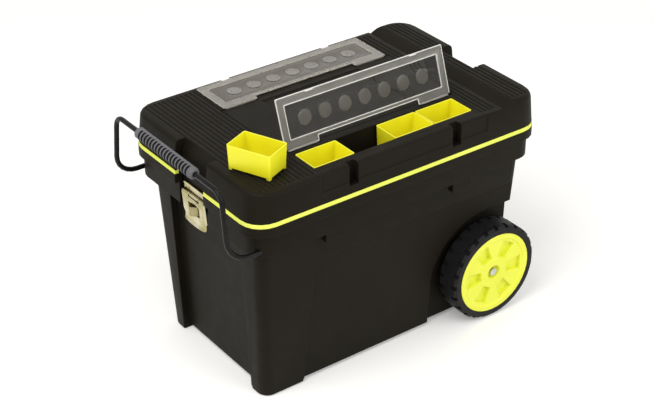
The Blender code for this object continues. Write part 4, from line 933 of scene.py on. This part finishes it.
# The rear cover takes the copies with the painted sheen.
rear_cover = cover("rear_clear_cover", 1, 0.0, OUTER_SIDE)
settle(rear_cover, "rear_cover_body", "clear_plastic", "rear_cover")

# %% [markdown]
# ## Ribbed grip
#
# The grip is a soft tube on the handle's cross bar, with a smooth nose, a collar and seventeen ribs. The
# grooves between the ribs are slots: they run round the outer side of the tube and stop at a plain spine
# along its inner top. The tube can be told as a list of rings, each with a place along the bar and a
# radius. A ring that lies in a groove also says how deep it is, and the spine decides where that counts.

# %% Grip shape
GRIP_LOW, GRIP_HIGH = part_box("handle_grip")
GRIP_MIDDLE = (GRIP_LOW + GRIP_HIGH) / 2
GRIP_HALF = (GRIP_HIGH.y - GRIP_LOW.y) / 2
GRIP_RADIUS = (GRIP_HIGH.z - GRIP_LOW.z) / 2
GRIP_BORE = 0.0046
GRIP_RIBS = 17
GROOVE_DEPTH = 0.0032
CROWN_ROOM = 0.1
# Nose and collar: distance from the grip's end, and radius.
NOSE = (
    (0.0, 0.0068), (0.0006, 0.0078), (0.0022, 0.0088),
    (0.004, 0.0094), (0.006, 0.0096), (0.0095, 0.0096),
)
COLLAR = ((0.0074, 0.0096), (0.0014, 0.0096), (0.0004, 0.0088), (0.0, 0.0078))
NOSE_LENGTH = 0.0105
COLLAR_LENGTH = 0.008
# One groove and its rib: share of the pitch, and share of the groove's depth.
RIB_SECTION = (
    (0.0, 0.0), (0.04, 0.5), (0.09, 1.0), (0.31, 1.06), (0.53, 1.0),
    (0.58, 0.5), (0.62, 0.0), (0.71, -0.06), (0.81, -0.08), (0.91, -0.06),
)
SPINE_MIDDLE = math.radians(45.0)
SPINE_HALF = math.radians(40.0)
SPINE_FADE = math.radians(16.0)


def smooth_step(value, low, high):
    share = min(max((value - low) / (high - low), 0.0), 1.0)
    return share * share * (3 - 2 * share)


def grip_rings():
    """(distance from the grip's middle, radius, share of the groove's depth) of each ring, nose first."""
    rings = [(-GRIP_HALF, GRIP_BORE, 0.0)]
    rings += [(away - GRIP_HALF, radius, 0.0) for away, radius in NOSE]
    start = NOSE_LENGTH - GRIP_HALF
    pitch = (2 * GRIP_HALF - NOSE_LENGTH - COLLAR_LENGTH) / GRIP_RIBS
    ribbed = GRIP_RADIUS - CROWN_ROOM * GROOVE_DEPTH
    for n in range(GRIP_RIBS):
        rings += [(start + (n + share) * pitch, ribbed, groove) for share, groove in RIB_SECTION]
    rings += [(GRIP_HALF - away, radius, 0.0) for away, radius in COLLAR]
    return rings + [(GRIP_HALF, GRIP_BORE, 0.0)]


def slot_share(angle):
    """0 on the grip's plain spine and 1 where the grooves are cut; the angle is from the top."""
    away = abs((angle - SPINE_MIDDLE + math.pi) % (2 * math.pi) - math.pi)
    return smooth_step(away, SPINE_HALF, SPINE_HALF + SPINE_FADE)


print("grip rings:", len(grip_rings()))

# %% [markdown]
# The rings are joined into a tube, face by face. A face that lies deep in a slot gets a second, darker
# rubber: painted shade that keeps the grooves dark. Choosing by depth while the tube is made is simpler
# than painting a mask afterwards, and it follows the ribs wherever they go.

# %% Grip
RING_SIDES = 56
SHADED_DEPTH = 0.22
GRIP_SHARP = math.radians(50.0)
GRIP_RUBBER = rubber(
    "grip_rubber", dark=(0.110, 0.108, 0.116), pale=(0.145, 0.142, 0.151), roughness=0.55, powder=1100.0
)
# Painted shade: a darker rubber for the faces deep in the grooves.
GROOVE_SHADE_RUBBER = rubber(
    "groove_painted_shade", dark=(0.014, 0.0135, 0.0145), pale=(0.022, 0.021, 0.0225), roughness=0.7, powder=1100.0
)


def ribbed_tube():
    turns = [2 * math.pi * n / RING_SIDES for n in range(RING_SIDES)]
    slots = [slot_share(turn) for turn in turns]
    rings = grip_rings()
    bm = bmesh.new()
    loops = []
    for along, radius, groove in rings:
        radii = [radius - GROOVE_DEPTH * groove * slot for slot in slots]
        points = [(r * math.sin(t), along, r * math.cos(t)) for r, t in zip(radii, turns)]
        loops.append([bm.verts.new(point) for point in points])
    for k, ring in enumerate(rings):
        following = (k + 1) % len(rings)
        depth = (ring[2] + rings[following][2]) / 2
        first, second = loops[k], loops[following]
        for n in range(RING_SIDES):
            m = (n + 1) % RING_SIDES
            face = bm.faces.new((first[n], second[n], second[m], first[m]))
            # Faces deep in a groove take the second, darker rubber: painted shade.
            face.material_index = int(depth * (slots[n] + slots[m]) / 2 > SHADED_DEPTH)
    bmesh.ops.recalc_face_normals(bm, faces=bm.faces)
    bm.transform(Matrix.Translation(GRIP_MIDDLE))
    return mesh_from(bm, "ribbed_grip")


grip_mesh = ribbed_tube()
grip_mesh.materials.append(GRIP_RUBBER)
grip_mesh.materials.append(GROOVE_SHADE_RUBBER)
grip_mesh.set_sharp_from_angle(angle=GRIP_SHARP)
ribbed_grip = bpy.data.objects.new("ribbed_grip", grip_mesh)
bpy.context.scene.collection.objects.link(ribbed_grip)
settle(ribbed_grip, "handle", "grey_rubber", "handle_grip")

# %% [markdown]
# ## Hasp plate
#
# The hasp's plate is pressed from sheet: two knuckles roll round the pin, a raised frame is pressed round
# the window, whose edge is turned in as a flange, and the foot narrows, bows and flares for a finger.
# Functions that say where each point of the flat sheet goes are all that the bending needs; Booleans and
# sculpting would lose the sheet's even thickness.

# %% Hasp plate shape
PIN = sum(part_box("latch_pin"), Vector()) / 2
PLATE_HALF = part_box("latch_plate")[1].y
FOOT_NARROWING = 0.0035
FOOT_HALF = PLATE_HALF - FOOT_NARROWING
SHEET = 0.0015
FACE_OUT = 0.00225
PLATE_FACE_X = PIN.x - FACE_OUT
WINDOW_HALF = 0.017
WINDOW_TOP = 0.010
WINDOW_FOOT = 0.032
FLANGE = 0.0012
FLANGE_DEPTH = 0.0010
FRAME_REACH = 0.024
FLARE_START = 0.042
FLARE_RADIUS = 0.011
FLARE_END = 0.0535
FOOT_CORNER = 0.005
FOOT_BOW = 0.003
PRESS_RISE = 0.0018
PRESS_EDGE = (0.0018, 0.0040)
WAIST = (0.033, 0.040)
KNUCKLE_INNER = 0.0135
KNUCKLE_GAP = 0.0034


def plate_half(drop):
    """Half the plate's width at a distance below the pin: a waist, then rounded corners at the foot."""
    half = PLATE_HALF - FOOT_NARROWING * smooth_step(drop, *WAIST)
    corner = max(drop - FLARE_END + FOOT_CORNER, 0.0)
    return half - FOOT_CORNER + math.sqrt(FOOT_CORNER**2 - corner**2)


def across_plate(line, half):
    """Where a grid line crosses: lines beyond the window's frame stretch to the plate's edge."""
    if abs(line) <= FRAME_REACH:
        return line
    beyond = (abs(line) - FRAME_REACH) / (PLATE_HALF - FRAME_REACH)
    return math.copysign(FRAME_REACH + beyond * (half - FRAME_REACH), line)


def plate_point(across, drop):
    """Where a point of the flat sheet goes: pressed round the window, bent outwards at the foot."""
    past_side = max(abs(across) - WINDOW_HALF, 0.0)
    past_end = max(WINDOW_TOP - drop, drop - WINDOW_FOOT, 0.0)
    rise = PRESS_RISE * (1 - smooth_step(math.hypot(past_side, past_end), *PRESS_EDGE))
    within = min(WINDOW_HALF - abs(across), drop - WINDOW_TOP, WINDOW_FOOT - drop)
    rise -= FLANGE_DEPTH * smooth_step(within, 0.0, FLANGE)
    bend = max(drop - FLARE_START, 0.0) / FLARE_RADIUS
    x = PLATE_FACE_X - rise - FLARE_RADIUS * (1 - math.cos(bend))
    z = PIN.z - min(drop, FLARE_START) - FLARE_RADIUS * math.sin(bend)
    return Vector((x, across, z))


print("hasp pin at", [round(v, 4) for v in PIN], "plate face at", round(PLATE_FACE_X, 4))

# %% [markdown]
# A grid of points is bent along that profile, with its lines crowded where the sheet bends, round the
# window, its pressed frame and the flare. The cells of the window and of the middle knuckle's gap are left
# out, so the openings are there from the start.

# %% Hasp sheet
FLANGE_ROWS = 4
FLARE_ROWS = 10
PRESS_STEPS = (0.0, 0.0016, 0.0022, 0.0028, 0.0034)
HEAD_STEPS = PRESS_STEPS + (0.004, 0.005)
SIDE_STEPS = PRESS_STEPS + (0.0042, 0.006)
FOOT_STEPS = SIDE_STEPS + (0.008,)
FLANGE_STEPS = [FLANGE * n / FLANGE_ROWS for n in range(1, FLANGE_ROWS + 1)]
WINDOW_LINE = WINDOW_HALF / 3
DROPS = [0.0, KNUCKLE_GAP]
DROPS += [WINDOW_TOP - step for step in reversed(HEAD_STEPS)]
DROPS += [WINDOW_TOP + step for step in FLANGE_STEPS]
DROPS += [WINDOW_FOOT - step for step in reversed(FLANGE_STEPS)]
DROPS += [WINDOW_FOOT + step for step in FOOT_STEPS]
DROPS += [FLARE_START + (FLARE_END - FLARE_START) * n / FLARE_ROWS for n in range(FLARE_ROWS + 1)]
BESIDE = [WINDOW_HALF + step for step in SIDE_STEPS]
BESIDE += [WINDOW_HALF - step for step in FLANGE_STEPS] + [WINDOW_LINE, FOOT_HALF, PLATE_HALF]
LINES = sorted(BESIDE + [-y for y in BESIDE])


def left_open(row, column):
    """Cells of the window inside its flange, and of the gap for the leaf's knuckle."""
    middle = abs(LINES[column] + LINES[column + 1]) / 2
    drop = (DROPS[row] + DROPS[row + 1]) / 2
    in_window = WINDOW_TOP + FLANGE < drop < WINDOW_FOOT - FLANGE and middle < WINDOW_HALF - FLANGE
    in_gap = DROPS[row] < KNUCKLE_GAP and middle < KNUCKLE_INNER
    return in_window or in_gap


def hasp_sheet():
    """The bent sheet's outer face, as a grid with the window left out."""
    bm = bmesh.new()
    rows = []
    for drop in DROPS:
        bowed = FOOT_BOW * smooth_step(drop, WINDOW_FOOT, FLARE_END)
        crossings = [across_plate(line, plate_half(drop)) for line in LINES]
        points = [plate_point(y, drop - bowed * (y / PLATE_HALF) ** 2) for y in crossings]
        rows.append([bm.verts.new(point) for point in points])
    for row in range(len(rows) - 1):
        upper, lower = rows[row], rows[row + 1]
        for n in range(len(LINES) - 1):
            if not left_open(row, n):
                bm.faces.new((upper[n], lower[n], lower[n + 1], upper[n + 1]))
    loose = [vert for vert in bm.verts if not vert.link_faces]
    bmesh.ops.delete(bm, geom=loose, context="VERTS")
    return mesh_from(bm, "hasp_sheet")


print("hasp grid:", len(DROPS), "by", len(LINES), "lines")

# %% [markdown]
# Solidify gives the bent face the sheet's thickness, and Bevel takes the sharpness off its cut edges. The
# real plate doesn't hang upright, so it is turned about the pin until its foot leans in towards the tub.
# Two bars make the knuckles that roll round the pin.

# %% Hasp plate
CUT_ROUND = SHEET / 5
CUT_ANGLE = math.radians(60.0)
KNUCKLE_RADIUS = 0.0032
PLATE_LEAN = math.radians(-5.0)


def thickened(mesh):
    """The sheet with its thickness and softened edges, as a mesh of its own."""
    obj = bpy.data.objects.new("sheet", mesh)
    bpy.context.scene.collection.objects.link(obj)
    solid = obj.modifiers.new("sheet_thickness", "SOLIDIFY")
    solid.thickness = SHEET
    solid.offset = -1.0
    bevel = obj.modifiers.new("cut_edges", "BEVEL")
    bevel.width = CUT_ROUND
    bevel.segments = 2
    bevel.limit_method = "ANGLE"
    bevel.angle_limit = CUT_ANGLE
    depsgraph = bpy.context.evaluated_depsgraph_get()
    made = bpy.data.meshes.new_from_object(obj.evaluated_get(depsgraph))
    bpy.data.objects.remove(obj)
    return made


def hung(mesh):
    """The plate as it hangs: turned about the pin, so that its foot leans in towards the tub."""
    pin = Matrix.Translation(PIN)
    mesh.transform(pin @ Matrix.Rotation(PLATE_LEAN, 4, "Y") @ pin.inverted())
    return mesh


def knuckle(start, end):
    return rod_mesh((PIN.x, start, PIN.z), (PIN.x, end, PIN.z), KNUCKLE_RADIUS)


hasp_meshes = [
    hung(thickened(hasp_sheet())),
    knuckle(-PLATE_HALF, -KNUCKLE_INNER),
    knuckle(KNUCKLE_INNER, PLATE_HALF),
]
hasp_plate = gather("hasp_plate", [(mesh, YELLOW_ZINC) for mesh in hasp_meshes])
settle(hasp_plate, "latch", "yellow_zinc", "latch_plate")

# %% [markdown]
# ## Hinge leaf
#
# Above the pin, the leaf that is riveted to the lid is a strip of sheet with a second, stepped band along
# its top, and its own knuckle between the plate's two. Strip and band are flat outlines with a thickness,
# so the plate helper makes them, turned up on edge against the wall that carries them.

# %% Hinge leaf
LEAF_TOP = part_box("latch_hinge_plate")[1].z
LEAF_FOOT_RISE = 0.001
LEAF_FOOT = PIN.z + LEAF_FOOT_RISE
LEAF_BAND = 0.0050
LEAF_STEP = 0.0010
KNUCKLE_PLAY = 0.0007
CUT_EDGE = 0.0004
PLATE_CORNER = 0.002
QUARTER_TURN = math.radians(90.0)


def wall_plate(half_y, low_z, high_z, wall_x, thickness):
    """A plate whose back lies on a wall that faces -X."""
    half_z = (high_z - low_z) / 2
    corners = [(-half_z, -half_y), (-half_z, half_y), (half_z, half_y), (half_z, -half_y)]
    plate = moulded_plate([rounded_outline(corners, PLATE_CORNER)], 0.0, thickness, CUT_EDGE)
    middle = Matrix.Translation((wall_x, 0.0, (low_z + high_z) / 2))
    plate.transform(middle @ Matrix.Rotation(-QUARTER_TURN, 4, "Y"))
    return plate


leaf_back = PIN.x + KNUCKLE_RADIUS
leaf_meshes = [
    wall_plate(PLATE_HALF, LEAF_FOOT, LEAF_TOP, leaf_back, SHEET),
    wall_plate(PLATE_HALF, LEAF_TOP - LEAF_BAND, LEAF_TOP, leaf_back, SHEET + LEAF_STEP),
    knuckle(KNUCKLE_PLAY - KNUCKLE_INNER, KNUCKLE_INNER - KNUCKLE_PLAY),
]
hinge_leaf = gather("hinge_leaf", [(mesh, YELLOW_ZINC) for mesh in leaf_meshes])
settle(hinge_leaf, "lid", "yellow_zinc", "latch_hinge_plate")

# %% [markdown]
# ## Staple
#
# A half-round staple stands on the tub's end wall and comes out through the plate's window. It is bent from
# strip, with a hole through it from top to bottom for a lock, and a small base plate holds it to the wall.
# Its plan, a half ellipse out and back, is one more outline for the plate helper.

# %% Staple
STRIKE_LOW, STRIKE_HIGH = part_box("latch_strike")
STRIKE_MIDDLE = (STRIKE_LOW + STRIKE_HIGH) / 2
STAPLE_HALF = 0.0120
STAPLE_HEIGHT = 0.0165
STAPLE_PROUD = 0.011
STAPLE_STRIP = 0.0022
STAPLE_STEPS = 20
BASE_HALF = 0.0145


def half_ring():
    """The staple's plan: a half ellipse out of the wall and back, one strip thick."""
    wall = STRIKE_HIGH.x - SHEET
    reach = wall - STRIKE_LOW.x + STAPLE_PROUD
    turns = [math.pi * (0.5 + n / STAPLE_STEPS) for n in range(STAPLE_STEPS + 1)]
    outer = [Vector((wall + reach * math.cos(t), STAPLE_HALF * math.sin(t))) for t in turns]
    reach -= STAPLE_STRIP
    half = STAPLE_HALF - STAPLE_STRIP
    return outer + [Vector((wall + reach * math.cos(t), half * math.sin(t))) for t in reversed(turns)]


staple_z = (STRIKE_MIDDLE.z - STAPLE_HEIGHT / 2, STRIKE_MIDDLE.z + STAPLE_HEIGHT / 2)
staple_meshes = [
    moulded_plate([half_ring()], *staple_z, CUT_EDGE),
    wall_plate(BASE_HALF, *staple_z, STRIKE_HIGH.x, SHEET),
]
# The staple takes the darker zinc copy, a painted shade.
staple = gather("staple", [(mesh, SHADED_ZINC) for mesh in staple_meshes])
settle(staple, "tub", "yellow_zinc", "latch_strike")

# %% [markdown]
# ## Catch studs
#
# In each of the lid's four recesses two small studs stand out of the back wall, for the cover's catch to
# snap over. A short bar with a softened end is enough at this size.

# %% Catch studs
RECESS_DEPTH = 0.0046
RECESS_WALL_Y = COVER_EDGE_Y - RECESS_DEPTH
STUD_REACH = 0.0022
STUD_RADIUS = 0.0019
STUD_DROP = 0.0125
STUD_Z = COVER_UNDER - STUD_DROP
STUD_APART = 0.0035
studs = []
for side in (-1, 1):
    for x in CATCH_PLACES:
        for offset in (-STUD_APART, STUD_APART):
            ends = [(x + offset, side * y, STUD_Z) for y in (RECESS_WALL_Y, RECESS_WALL_Y + STUD_REACH)]
            studs.append((rod_mesh(*ends, STUD_RADIUS), BLACK_MOULDING))
catch_studs = gather("catch_studs", studs)
settle(catch_studs, "lid", "black_plastic")
